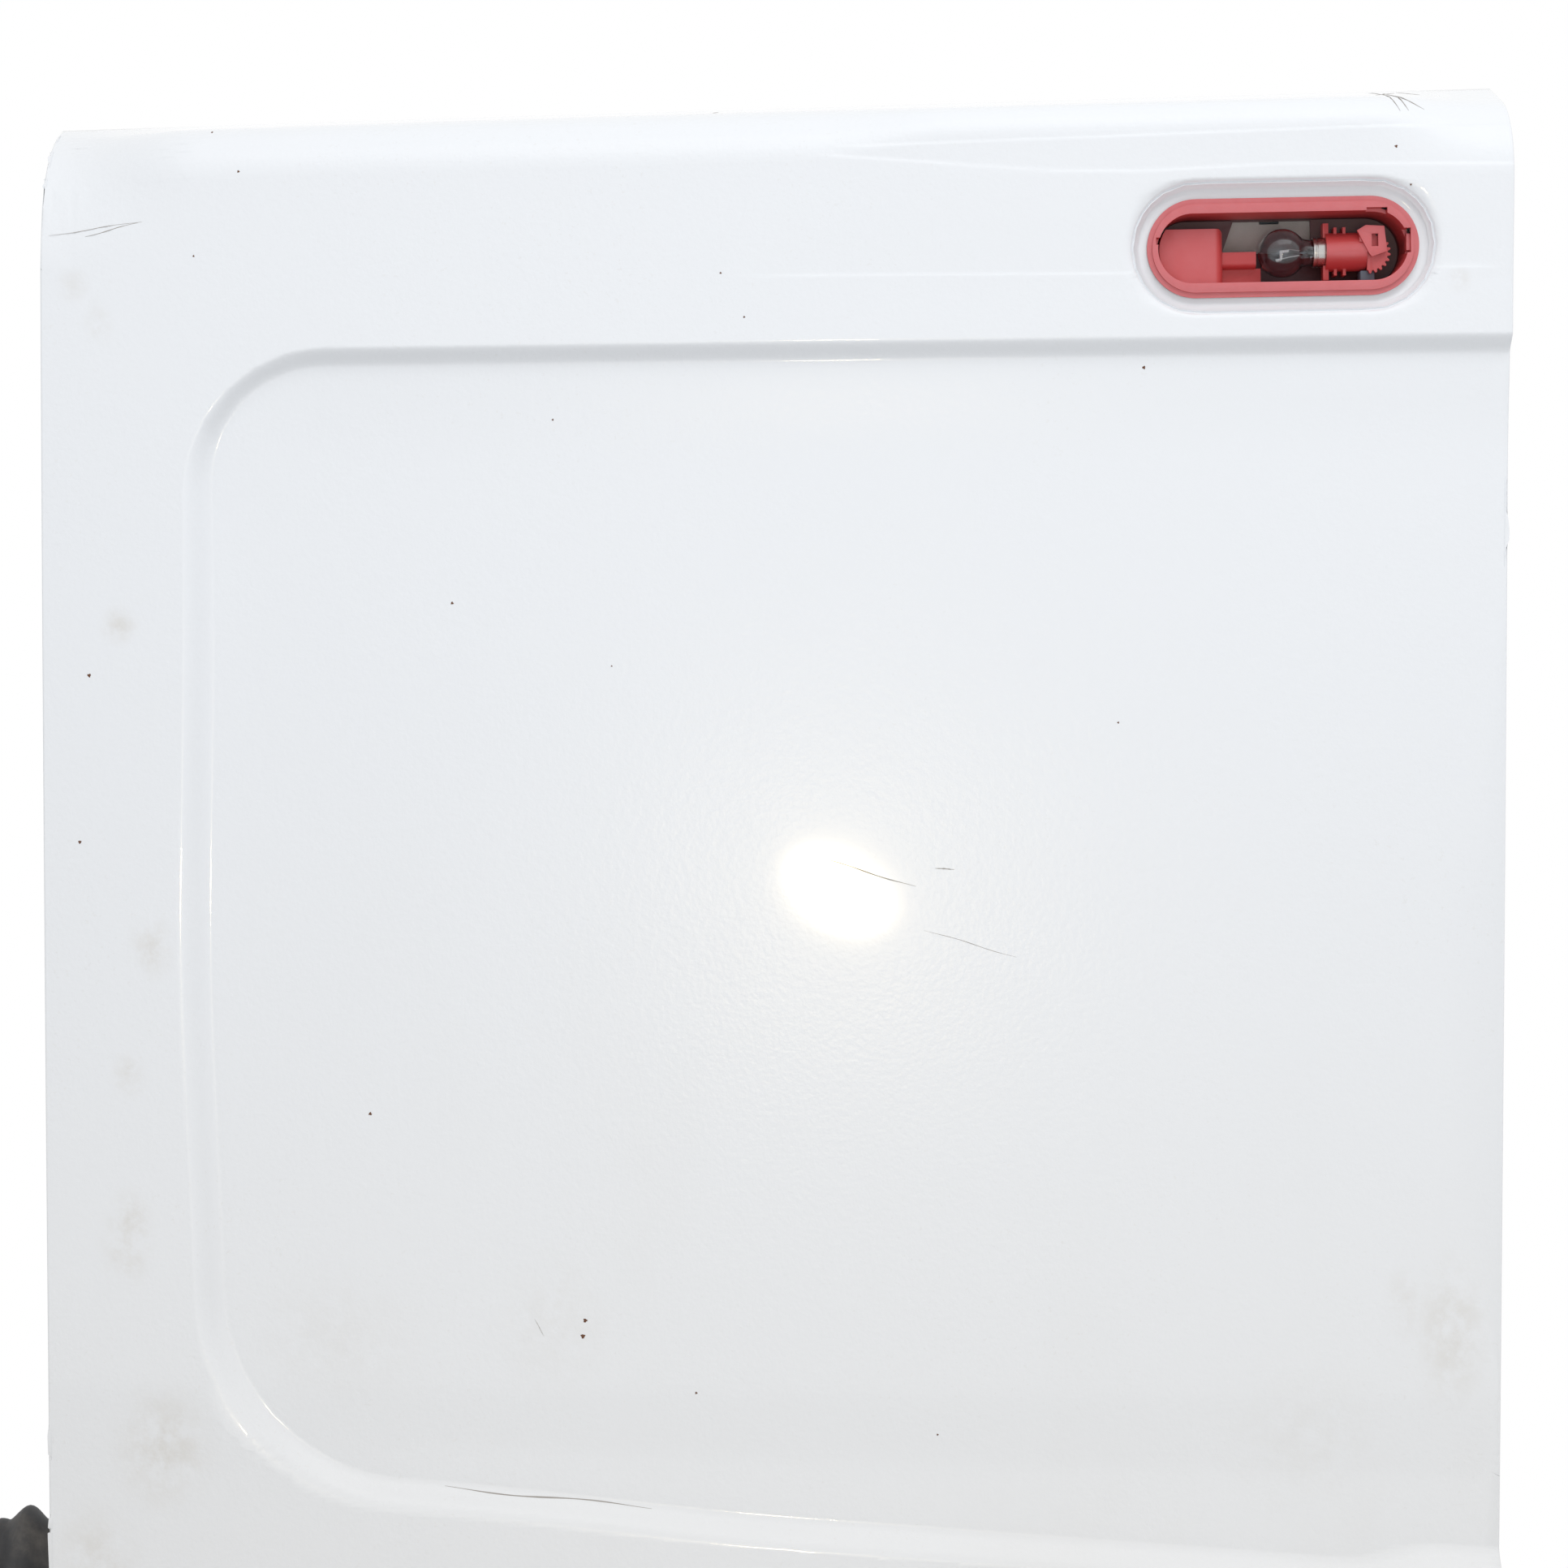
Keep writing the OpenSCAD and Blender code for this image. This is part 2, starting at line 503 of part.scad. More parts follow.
// Lower inner panel with its access holes in rows and columns
panel_lap = 22;
panel_over = 14;
panel_x0 = stile_w - panel_lap;
panel_x1 = door_w - stile_w + panel_lap;
panel_z0 = rail_w - panel_lap;
panel_z1 = field_low + panel_over;
access_w = 134;
access_h = 134;
access_r = 24;
access_cols = 3;
access_rows = 2;
access_rib = 50;
access_gap = (panel_x1 - panel_x0 - access_cols*access_w)/(access_cols + 1);
module round_rect(w, h, r) {
    for (d = [[w, h - 2*r], [w - 2*r, h]]) translate([(w - d[0])/2, (h - d[1])/2]) square(d);
    for (x = [r, w - r], z = [r, h - r]) translate([x, z]) circle(r = r);
}
module lower_inner_panel() {
    color("gainsboro") translate([0, face_back + inner_t, 0]) rotate([90, 0, 0])
        linear_extrude(inner_t) difference() {
            translate([panel_x0, panel_z0]) square([panel_x1 - panel_x0, panel_z1 - panel_z0]);
            for (i = [0:access_cols - 1], j = [0:access_rows - 1])
                translate([panel_x0 + access_gap + i*(access_w + access_gap),
                    panel_z0 + access_rib + j*(access_h + access_rib)])
                    round_rect(access_w, access_h, access_r);
        }
}

// Brake lamp, in its own frame: u along its length, v up, w into the door from the flange's face
lamp_stand = 3.4;
lamp_face_y = skin_y(lamp_x, lamp_z) - lamp_stand;
module at_lamp() {
    translate([lamp_x, lamp_face_y, lamp_z]) rotate([0, -lamp_tilt, 0]) children();
}
module slot_2d(w, h) {
    square([w - h, h], center = true);
    for (s = [-1, 1]) translate([s*(w - h)/2, 0]) circle(d = h);
}
// A prism over an outline in (u, v), from depth w0 to depth w1
module prism(w0, w1) {
    translate([0, w1, 0]) rotate([90, 0, 0]) linear_extrude(w1 - w0) children();
}
module slot(w, h, w0, w1) {
    prism(w0, w1) slot_2d(w, h);
}
module block(u0, u1, w0, w1, v0, v1) {
    translate([u0, w0, v0]) cube([u1 - u0, w1 - w0, v1 - v0]);
}
well_w = lamp_w - 2*lamp_rim;
well_h = lamp_h - 2*lamp_band;
left_u = -well_w/2;
right_u = well_w/2;
top_v = well_h/2;
flange_t = 2.1;
flange_edge = 2.6;
gasket_gap = 0.3;
floor_t = 2;
floor_w = lamp_well - floor_t;
module lamp_gasket() {
    color("dimgray") at_lamp() difference() {
        slot(lamp_w - 2, lamp_h - 2, flange_t + gasket_gap, lamp_stand - gasket_gap);
        slot(well_w + 2*lamp_wall + 1, well_h + 2*lamp_wall + 1, 0, lamp_well);
    }
}

// Blocks moulded in the well, from its left end and its top
cheek_w = 34;
cheek_drop = 6.8;
cheek_gap = 1.4;
cheek_r = 3;
cheek_round = 5;
cheek_in = 8;
shelf_l = 17.5;
shelf_in = 14;
shelf_h = 8.3;
shelf_v = -0.5;
shelf_round = 3;
step_in = 19;
step_l = 20.5;
joined = 0.4;
cheek_wall = 3;
// Cutter that rounds the front edge of a block along v, where its right side is at u
module edge_round(u, w, r) {
    difference() {
        block(u - r, u + 1, w - 1, w + r, -lamp_h/2, lamp_h/2);
        translate([u - r, w + r, -lamp_h/2 - 1]) cylinder(r = r, h = lamp_h + 2);
    }
}
// Cutter that rounds the front edge of a block along u, from u = 0, where its lower side is at v
module sill_round(v, w, r) {
    difference() {
        block(0, lamp_w, w - 1, w + r, v - 1, v + r);
        translate([-1, w + r, v + r]) rotate([0, 90, 0]) cylinder(r = r, h = lamp_w + 2);
    }
}
module cheek_2d(less) {
    u1 = left_u + cheek_w - less;
    v1 = top_v - cheek_drop - less;
    intersection() {
        slot_2d(well_w - 2*(cheek_gap + less), well_h + 2*(1 - less));
        union() {
            translate([left_u, -top_v - 2]) square([cheek_w - less - cheek_r, v1 + top_v + 2]);
            translate([left_u, -top_v - 2]) square([cheek_w - less, v1 + top_v + 2 - cheek_r]);
            translate([u1 - cheek_r, v1 - cheek_r]) circle(r = cheek_r);
        }
    }
}
// Window in the well's floor that the grey plate closes
window_l = 46;
window_rim = 2;
window_low = 0.6;
window_high = 0.4;
window_u = left_u + cheek_w + window_rim;
window_slant = 6;
// Catches for the lens, which is missing: slots in the ends and a relief in the upper edge
catch_in = 1.4;
catch_h = 3.6;
catch_v = 2.2;
catch_d = 6;
clip_h = 12.4;
clip_w = 3.4;
clip_out = 1.2;
clip_v = -4;
clip_d = 7;
tongue_in = 2.8;
tongue_d = 9;
tongue_v = -2.6;
tongue_h = 8.4;
relief_u = right_u - 21;
relief_l = 10.5;
relief_h = 1.4;
relief_d = 5;
module lamp_housing() {
    color("indianred") at_lamp() {
        difference() {
            union() {
                slot(lamp_w, lamp_h, flange_t/2, flange_t);
                slot(lamp_w - 2*flange_edge, lamp_h - 2*flange_edge, 0, flange_t);
                slot(well_w + 2*lamp_wall, well_h + 2*lamp_wall, flange_t/2, lamp_well);
            }
            slot(well_w, well_h, -1, floor_w);
            prism(floor_w - 1, lamp_well + 1) polygon([[window_u, window_low],
                [window_u + window_l, window_low], [window_u + window_l, top_v - window_high],
                [window_u + window_slant, top_v - window_high]]);
            block(left_u - 1, left_u + catch_in, -1, catch_d, catch_v, catch_v + catch_h);
            block(right_u - clip_w, right_u + clip_out, -1, clip_d, clip_v, clip_v + clip_h);
            block(relief_u, relief_u + relief_l, -1, relief_d, 0, top_v + relief_h);
        }
        // Tongue that stands in the right end's slot
        intersection() {
            slot(well_w + 2*lamp_wall, well_h + 2*lamp_wall, 0, lamp_well);
            block(right_u - clip_out/2, right_u + lamp_wall, tongue_in, tongue_d, tongue_v,
                tongue_v + tongue_h);
        }
        difference() {
            prism(cheek_in, floor_w + joined) cheek_2d(0);
            prism(cheek_in + lamp_wall, floor_w + 1) cheek_2d(cheek_wall);
            edge_round(left_u + cheek_w, cheek_in, cheek_round);
        }
        intersection() {
            slot(well_w + 1, well_h + 1, 0, lamp_well);
            union() {
                difference() {
                    block(left_u + cheek_w - joined, left_u + cheek_w + shelf_l, shelf_in, floor_w + joined,
                        shelf_v - shelf_h, shelf_v);
                    translate([left_u + cheek_w - 1, 0, 0])
                        sill_round(shelf_v - shelf_h, shelf_in, shelf_round);
                }
                block(left_u + cheek_w - joined, left_u + cheek_w + step_l, step_in, floor_w + joined,
                    -top_v - 1, shelf_v - shelf_h + joined);
            }
        }
    }
}

// Bulb holder, pushed in from the right end of the well
holder_back = 40.1;
holder_u = right_u - holder_back;
holder_l = 20.6;
holder_r = 9.8;
holder_w = 17;
holder_v = -1.2;
holder_base = 3;
lug_t = 2.8;
lug_w = 7;
lug_reach = 14.4;
rib_u = 4.4;
rib_t = 1.5;
rib_w = 8;
rib_pitch = 4.6;
rib_reach = 12.2;
fork_in = 6;
fork_t = 1.8;
fork_l = 8.4;
eye_u = 2;
eye_v = 1.4;
eye_w = 3.3;
eye_h = 6.4;
arm_l = 4;
rack_u = 1.6;
rack_drop = 1.4;
rack_r = 9;
rack_tooth = 1.5;
rack_n = 12;
rack_half = 100;
rack_t = 2.4;
rack_in = 9;
stem_l = 6;
stem_h = 10;
module on_holder(u) {
    translate([u, holder_w, holder_v]) rotate([0, 90, 0]) children();
}
cap_r = 7.5;
holder_end = holder_u + holder_l;
module bulb_holder() {
    color("firebrick") at_lamp() {
        difference() {
            union() {
                on_holder(holder_u) cylinder(r = holder_r, h = holder_l);
                block(holder_u - 1, holder_u - 1 + lug_t, holder_w - lug_w/2, holder_w + lug_w/2,
                    holder_v - lug_reach, holder_v + lug_reach);
                for (u = [holder_u + rib_u, holder_u + rib_u + rib_pitch])
                    block(u, u + rib_t, holder_w - rib_w/2, holder_w + rib_w/2, holder_v - rib_reach,
                        holder_v + rib_reach);
            }
            on_holder(holder_u - 2) cylinder(r = cap_r + fit, h = holder_l + 2 - holder_base);
        }
        // Fork plate with its square eye, and the arm that carries it
        difference() {
            translate([0, 0, holder_v]) prism(fork_in, fork_in + fork_t)
                polygon([[holder_end - 5.4, 9.6], [holder_end - 1, 12.2], [holder_end + fork_l, 11.6],
                    [holder_end + fork_l + 1.4, -1.2], [holder_end + 2, -3.8], [holder_end + 0.6, -2]]);
            block(holder_end + eye_u, holder_end + eye_u + eye_w, fork_in - 1, fork_in + fork_t + 1,
                holder_v + eye_v, holder_v + eye_v + eye_h);
        }
        block(holder_end - arm_l, holder_end + rack_u + joined, fork_in + fork_t - joined,
            holder_w - holder_r/2, holder_v + arm_l, holder_v + 2*arm_l);
        // Toothed sector behind the fork, with the stem that stands on the floor of the well
        translate([holder_end + rack_u, 0, holder_v - rack_drop]) {
            prism(rack_in, rack_in + rack_t) polygon([for (k = [0:rack_n - 1]) for (q = [0:3])
                let (a = -rack_half + 2*rack_half*(k + q/4)/rack_n, r = rack_r + (q < 2 ? 0 : rack_tooth))
                [r*cos(a), r*sin(a)]]);
            block(0, stem_l, rack_in + rack_t - joined, floor_w - fit, -stem_h/2, stem_h/2);
        }
    }
}
cap_l = 20;
cap_t = 0.6;
cap_out = 6.2;
module bulb_cap() {
    color("silver") at_lamp() difference() {
        on_holder(holder_u - cap_out) cylinder(r = cap_r, h = cap_l);
        on_holder(holder_u - cap_out - 1) cylinder(r = cap_r - cap_t, h = cap_l + 1 - cap_t);
    }
}
bulb_out = 21.4;
bulb_u = holder_u - bulb_out;
glass_t = 0.8;
neck_r = cap_r - cap_t - fit;
neck_l = 19;
module bulb_glass() {
    color([0.7, 0.72, 0.75, 0.6]) at_lamp() difference() {
        on_holder(bulb_u) union() {
            sphere(r = bulb_r);
            cylinder(r = neck_r, h = neck_l + glass_t);
        }
        on_holder(bulb_u) union() {
            sphere(r = bulb_r - glass_t);
            cylinder(r = neck_r - glass_t, h = neck_l);
        }
    }
}
post_r = 2.2;
wire_r = 0.4;
wire_gap = 5;
wire_l = 9;
post_from = 6;
module bulb_filament() {
    color("silver") at_lamp() on_holder(bulb_u) {
        translate([0, 0, post_from]) cylinder(r = post_r, h = neck_l - post_from - fit);
        for (s = [-1, 1]) {
            translate([s*wire_gap/2, 0, -1]) cylinder(r = wire_r, h = wire_l);
            translate([s*wire_gap/4, 0, wire_l - 1 - wire_r]) rotate([0, s*90, 0])
                cylinder(r = wire_r, h = wire_gap/4);
        }
        translate([-wire_gap/2, 0, -1]) rotate([0, 90, 0]) cylinder(r = wire_r, h = wire_gap);
    }
}
plug_u = holder_end - 3;
plug_l = 7.4;
module lamp_connector() {
    color("slategray") at_lamp() block(plug_u, plug_u + plug_l, rack_in + rack_t + fit, holder_w + plug_l/2,
        -top_v + fit, holder_v - holder_r - fit);
}
bracket_lap = 5;
bracket_up = 12;
notch_u = 20;
notch_l = 10;
notch_in = 1.6;
module lamp_bracket() {
    color("gray") at_lamp() difference() {
        block(window_u - bracket_lap, window_u + window_l + bracket_lap, lamp_well + fit,
            lamp_well + fit + inner_t, 0, top_v + bracket_up);
        block(window_u + notch_u, window_u + notch_u + notch_l, 0, lamp_well*2, top_v - notch_in, top_v*2);
    }
}

// A moulding over stations along x that follows the skin. Its profile is a closed list of z and the
// distance outwards.
module along_skin(xs, profile) {
    m = len(profile);
    n = len(xs) - 1;
    polyhedron(
        points = flat1([for (x = xs) [for (p = profile) [x, skin_y(x, p[0]) - p[1], p[0]]]]),
        faces = concat([[for (k = [m - 1:-1:0]) k]], [[for (k = [0:m - 1]) n*m + k]],
            flat1([for (i = [0:n - 1]) for (k = [0:m - 1]) let (q = (k + 1) % m)
                tri(i*m + q, (i + 1)*m + q, (i + 1)*m + k, i*m + k)])),
        convexity = 6);
}

// Plinth over the plate recess, open at its back, with its lamps in the lower side
plinth_over = 10;
plinth_x0 = plate_l - plinth_over;
plinth_z = plate_z + plate_h + plate_wall;
plinth_h = 62;
plinth_d = 20;
plinth_t = 2.5;
plinth_lip = 14;
plinth_chin = 6;
plinth_slope = 12;
plinth_n = 14;
function plinth_profile(less) =
    let (z0 = plinth_z + less, z1 = plinth_z + plinth_h - less, d = plinth_d - less)
    [[z0, fit], [z0, plinth_lip - less/2], [z0 + plinth_chin - less/2, d], [z1 - plinth_slope, d],
        [z1, d - plinth_slope], [z1, fit]];
plate_lamp_w = 44;
plate_lamp_d = 10;
plate_lamp_h = 8;
plate_lamp_at = 110;
plate_lamp_t = 2;
plate_lamp_drop = 1.5;
module at_plate_lamps() {
    for (s = [-1, 1]) let (x = plate_x + s*plate_lamp_at)
        translate([x, skin_y(x, plinth_z) - plinth_lip/2, plinth_z]) children();
}
module plate_plinth() {
    outer = plinth_profile(0);
    inner = plinth_profile(plinth_t);
    full = concat(outer, [inner[len(inner) - 1], inner[0]]);
    middle_xs = span(plinth_x0 + plinth_t, plinth_x1 - plinth_t, plinth_n);
    color("dimgray") difference() {
        union() {
            along_skin(concat([plinth_x0], middle_xs, [plinth_x1]), concat(outer, reversed(inner)));
            along_skin([plinth_x0, plinth_x0 + plinth_t], full);
            along_skin([plinth_x1 - plinth_t, plinth_x1], full);
        }
        at_plate_lamps() cube([plate_lamp_w + 2*fit, plate_lamp_d + 2*fit, 2*plinth_t + 1], center = true);
    }
}
module plate_lamps() {
    t = plate_lamp_t;
    color("white") at_plate_lamps() translate([-plate_lamp_w/2, -plate_lamp_d/2, -plate_lamp_drop])
        difference() {
            cube([plate_lamp_w, plate_lamp_d, plate_lamp_h]);
            translate([t, t, t]) cube([plate_lamp_w - 2*t, plate_lamp_d - 2*t, plate_lamp_h]);
        }
}

// Outer handle: a bezel on the skin and a grip that stands over its open middle
handle_inset = 52;
handle_w = 48;
handle_h = 132;
handle_r = 14;
bezel_t = 9;
bezel_rim = 7;
grip_w = 24;
grip_t = 8;
grip_r = 6;
grip_gap = 17;
grip_foot = 14;
grip_neck = 3;
handle_x = door_w - handle_inset;
handle_z = plinth_z;
plinth_gap = 30;
plinth_x1 = handle_x - handle_w/2 - plinth_gap;
handle_y = skin_y(handle_x, handle_z + handle_h) - fit;
module upright(y0, y1) {
    translate([0, y1, 0]) rotate([90, 0, 0]) linear_extrude(y1 - y0) children();
}
module outer_handle() {
    color("dimgray") translate([handle_x - handle_w/2, handle_y, handle_z]) {
        upright(-bezel_t, 0) difference() {
            round_rect(handle_w, handle_h, handle_r);
            translate([bezel_rim, bezel_rim + grip_foot])
                round_rect(handle_w - 2*bezel_rim, handle_h - 2*bezel_rim - 2*grip_foot,
                    handle_r - bezel_rim);
        }
        upright(-grip_gap - grip_t, -grip_gap) translate([(handle_w - grip_w)/2, bezel_rim])
            round_rect(grip_w, handle_h - 2*bezel_rim, grip_r);
        for (z = [bezel_rim, handle_h - bezel_rim - grip_foot])
            translate([(handle_w - grip_w)/2 + grip_neck, -grip_gap - 1, z + 1])
                cube([grip_w - 2*grip_neck, grip_gap - bezel_t + 2, grip_foot - 2]);
    }
}
lock_r = 11;
lock_t = 6;
lock_z = handle_z - 30;
lock_collar = 2;
key_w = 2.4;
key_l = 9;
key_d = 2.5;
// The barrel seats on the highest of the skin under its rim
lock_y = min([for (k = [0:7]) skin_y(handle_x + lock_r*cos(45*k), lock_z + lock_r*sin(45*k))]) - fit;
module lock_barrel() {
    color("silver") translate([handle_x, lock_y, lock_z]) rotate([90, 0, 0]) difference() {
        union() {
            cylinder(r = lock_r, h = lock_t - lock_collar);
            cylinder(r = lock_r - lock_collar, h = lock_t);
        }
        translate([-key_w/2, -key_l/2, lock_t - key_d]) cube([key_w, key_l, key_d + 1]);
    }
}

// Latch in the closing edge, with rods to a bolt at the top and one at the bottom
latch_w = 50;
latch_d = 26.5;
latch_h = 90;
latch_y = 14;
latch_x1 = door_w - wall_d - fit;
latch_in = 11;
mouth_h = 18;
mouth_in = 24;
mouth_wall = 8;
rivet_r = 3.5;
rivet_in = 8;
rivet_h = 1.5;
striker_y = latch_y - 1;
striker_d = latch_d - mouth_wall;
striker_h = mouth_h + 2;
rod_r = 3;
rod_y = 40;
rod_x = latch_x1 - latch_in;
bolt_d = 20;
bolt_w = 16;
bolt_len = 40;
bolt_r = 5;
bolt_y = 44;
bolt_play = 1;
bolt_back = 9;
nose_l = 17;
low_bolt_y = 35.5;
low_bolt_d = 11;
low_bolt_r = 4;
bolt_top = door_h - wall_d - bolt_back;
bolt_low = wall_d + bolt_back;
module latch_case() {
    color("silver") difference() {
        union() {
            translate([latch_x1 - latch_w, latch_y, latch_z - latch_h/2])
                cube([latch_w, latch_d, latch_h]);
            for (x = [rivet_in, latch_w - rivet_in], z = [rivet_in, latch_h - rivet_in])
                translate([latch_x1 - x, latch_y + 1, latch_z - latch_h/2 + z]) rotate([90, 0, 0])
                    cylinder(r = rivet_r, h = 1 + rivet_h);
        }
        translate([latch_x1 - mouth_in, latch_y - 1, latch_z - mouth_h/2])
            cube([mouth_in + 1, latch_d + 1 - mouth_wall, mouth_h]);
    }
}
claw_r = 10;
claw_t = 3;
claw_pin_r = 2.5;
claw_l = 16;
claw_w = 8;
claw_slot = 3.2;
module latch_claw() {
    color("gray") translate([latch_x1 - mouth_in/2 - claw_r, latch_y + latch_d + fit, latch_z])
        rotate([-90, 0, 0]) linear_extrude(claw_t) difference() {
            union() {
                circle(r = claw_r);
                translate([0, -claw_w/2]) square([claw_l, claw_w]);
            }
            circle(r = claw_pin_r);
            translate([claw_pin_r + 0.5, -claw_slot/2]) square([claw_l, claw_slot]);
        }
}
module latch_rods() {
    color("silver") {
        translate([rod_x, rod_y, latch_z + latch_h/2 + fit])
            cylinder(r = rod_r, h = bolt_top - bolt_len - latch_z - latch_h/2 - 2*fit);
        translate([rod_x, rod_y, bolt_low + low_bolt_d + fit])
            cylinder(r = rod_r, h = latch_z - latch_h/2 - bolt_low - low_bolt_d - 2*fit);
    }
}
module top_bolt() {
    color("silver") {
        translate([rod_x - bolt_w/2, bolt_y - bolt_d/2, bolt_top - bolt_len])
            cube([bolt_w, bolt_d, bolt_len - bolt_back]);
        translate([rod_x, bolt_y, bolt_top - bolt_back - 1]) cylinder(r = bolt_r, h = nose_l);
    }
}
module bottom_bolt() {
    color("silver") {
        translate([rod_x - bolt_w/2, low_bolt_y - bolt_r - 1, bolt_low + 3])
            cube([bolt_w, 2*bolt_r + 2, low_bolt_d - 3]);
        translate([rod_x, low_bolt_y, bolt_low - bolt_back]) cylinder(r = low_bolt_r, h = bolt_back + 4);
    }
}

// Inner release lever in its bezel, and the pull handle, on the lower inner panel
panel_y = face_back + inner_t + fit;
bezel_w = 74;
bezel_h = 112;
bezel_r = 12;
bezel_base = 2.5;
bezel_wall = 4;
bezel_d = 9;
lever_w = 44;
lever_h = 78;
lever_gap = 12;
lever_t = 5;
lever_r = 8;
lever_foot = 12;
lever_side = 4;
release_inset = 192;
release_drop = 128;
release_x = door_w - release_inset;
release_z = field_low - release_drop;
module release_bezel() {
    color("dimgray") translate([release_x, panel_y, release_z]) {
        upright(0, bezel_base) round_rect(bezel_w, bezel_h, bezel_r);
        upright(0, bezel_d) difference() {
            round_rect(bezel_w, bezel_h, bezel_r);
            translate([bezel_wall, bezel_wall])
                round_rect(bezel_w - 2*bezel_wall, bezel_h - 2*bezel_wall, bezel_r - bezel_wall);
        }
    }
}
module release_lever() {
    x = release_x + (bezel_w - lever_w)/2;
    z = release_z + (bezel_h - lever_h)/2;
    color("black") translate([x, panel_y + bezel_base + fit, z]) {
        upright(lever_gap, lever_gap + lever_t) round_rect(lever_w, lever_h, lever_r);
        translate([lever_side, 0, lever_h - 1.5*lever_foot])
            cube([lever_w - 2*lever_side, lever_gap + 1, lever_foot]);
    }
}
pull_l = 160;
pull_w = 26;
pull_gap = 28;
pull_t = 9;
pull_foot = 24;
pull_foot_r = 9;
pull_drop = 105;
module pull_handle() {
    color("dimgray") translate([(door_w - pull_l)/2, panel_y, field_low - pull_drop]) {
        upright(pull_gap, pull_gap + pull_t) round_rect(pull_l, pull_w, pull_w/2 - 1);
        for (x = [0, pull_l - pull_foot]) upright(0, pull_gap + 1)
            translate([x + 1, 2]) round_rect(pull_foot - 2, pull_w - 4, pull_foot_r);
    }
}

// Hinges: pin parallel to z, door leaf on the frame's wall, body leaf on the pillar
pin_y = skin_y(pin_inset, hinge_low) + pin_inset;
leaf_reach = 34;
leaf_y = pin_y + leaf_reach;
leaf_x0 = 1;
leaf_x1 = 22;
leaf_r = 6;
knuckle_mid = 26;
knuckle_end = 14;
knuckle_gap = 0.4;
arm_x0 = pin_inset - 7.5;
arm_t = 6.5;
module at_pin(z) {
    translate([pin_inset, pin_y, z]) children();
}
module body_leaf(z) {
    difference() {
        union() {
            translate([leaf_x0, leaf_y, z - leaf_h/2])
                upright(0, leaf_t) round_rect(leaf_x1 - leaf_x0, leaf_h, leaf_r);
            translate([arm_x0, pin_y, z - knuckle_mid/2]) cube([arm_t, leaf_reach + 1, knuckle_mid]);
            at_pin(z - knuckle_mid/2) cylinder(r = knuckle_r, h = knuckle_mid);
        }
        at_pin(z - knuckle_mid) cylinder(r = pin_r, h = 2*knuckle_mid);
        for (s = [-1, 1]) translate([(leaf_x0 + leaf_x1)/2, leaf_y - 1, z + s*bolt_pitch/2])
            rotate([-90, 0, 0]) cylinder(r = bolt_hole_r, h = leaf_t + 2);
    }
}
door_leaf_y0 = pin_y - 4;
door_leaf_y1 = door_depth - 7.5;
door_leaf_d = door_leaf_y1 - door_leaf_y0;
knuckle_web = 12;
// Hexagon bolts hold the door leaf to its plate behind the frame's wall.
leaf_bolt_r = 6;
leaf_bolt_t = 3.5;
leaf_bolt_z = 36;
module hinge_hex(x, z) {
    for (s = [-1, 1]) translate([x, (door_leaf_y0 + door_leaf_y1)/2, z + s*leaf_bolt_z]) rotate([0, 90, 0])
        cylinder(r = leaf_bolt_r, h = leaf_bolt_t + joined, $fn = 6);
}
module door_leaf(z) {
    reach = knuckle_mid/2 + knuckle_gap;
    difference() {
        union() {
            translate([wall_in - fit - leaf_t, door_leaf_y0, z - leaf_h/2]) rotate([90, 0, 90])
                linear_extrude(leaf_t) round_rect(door_leaf_d, leaf_h, leaf_r);
            hinge_hex(wall_in - fit - leaf_t - leaf_bolt_t, z);
            for (low = [z - reach - knuckle_end, z + reach]) {
                at_pin(low) cylinder(r = knuckle_r, h = knuckle_end);
                translate([pin_inset, door_leaf_y0, low])
                    cube([wall_in - fit - pin_inset, knuckle_web, knuckle_end]);
            }
        }
        translate([pin_inset - knuckle_r, door_leaf_y0 - 1, z - reach])
            cube([wall_in - pin_inset + knuckle_r, knuckle_web + 3, 2*reach]);
        at_pin(z - leaf_h) cylinder(r = pin_r + pin_play, h = 2*leaf_h);
    }
}
pin_over = 4;
module hinge_pin(z) {
    half = knuckle_mid/2 + knuckle_gap + knuckle_end + pin_over;
    at_pin(z - half) cylinder(r = pin_r, h = 2*half);
}
module upper_door_leaf() { color("silver") door_leaf(hinge_high); }
module lower_door_leaf() { color("silver") door_leaf(hinge_low); }
module upper_body_leaf() { color("silver") body_leaf(hinge_high); }
module lower_body_leaf() { color("silver") body_leaf(hinge_low); }
module upper_hinge_pin() { color("gray") hinge_pin(hinge_high); }
module lower_hinge_pin() { color("gray") hinge_pin(hinge_low); }
hinge_plate_h = 110;
hinge_plate_t = 3;
module hinge_plates() {
    color("gray") for (z = [hinge_low, hinge_high]) {
        translate([wall_d + fit, door_leaf_y0, z - hinge_plate_h/2]) rotate([90, 0, 90])
            linear_extrude(hinge_plate_t) round_rect(door_leaf_d, hinge_plate_h, leaf_r);
        hinge_hex(wall_d + fit + hinge_plate_t - joined, z);
    }
}

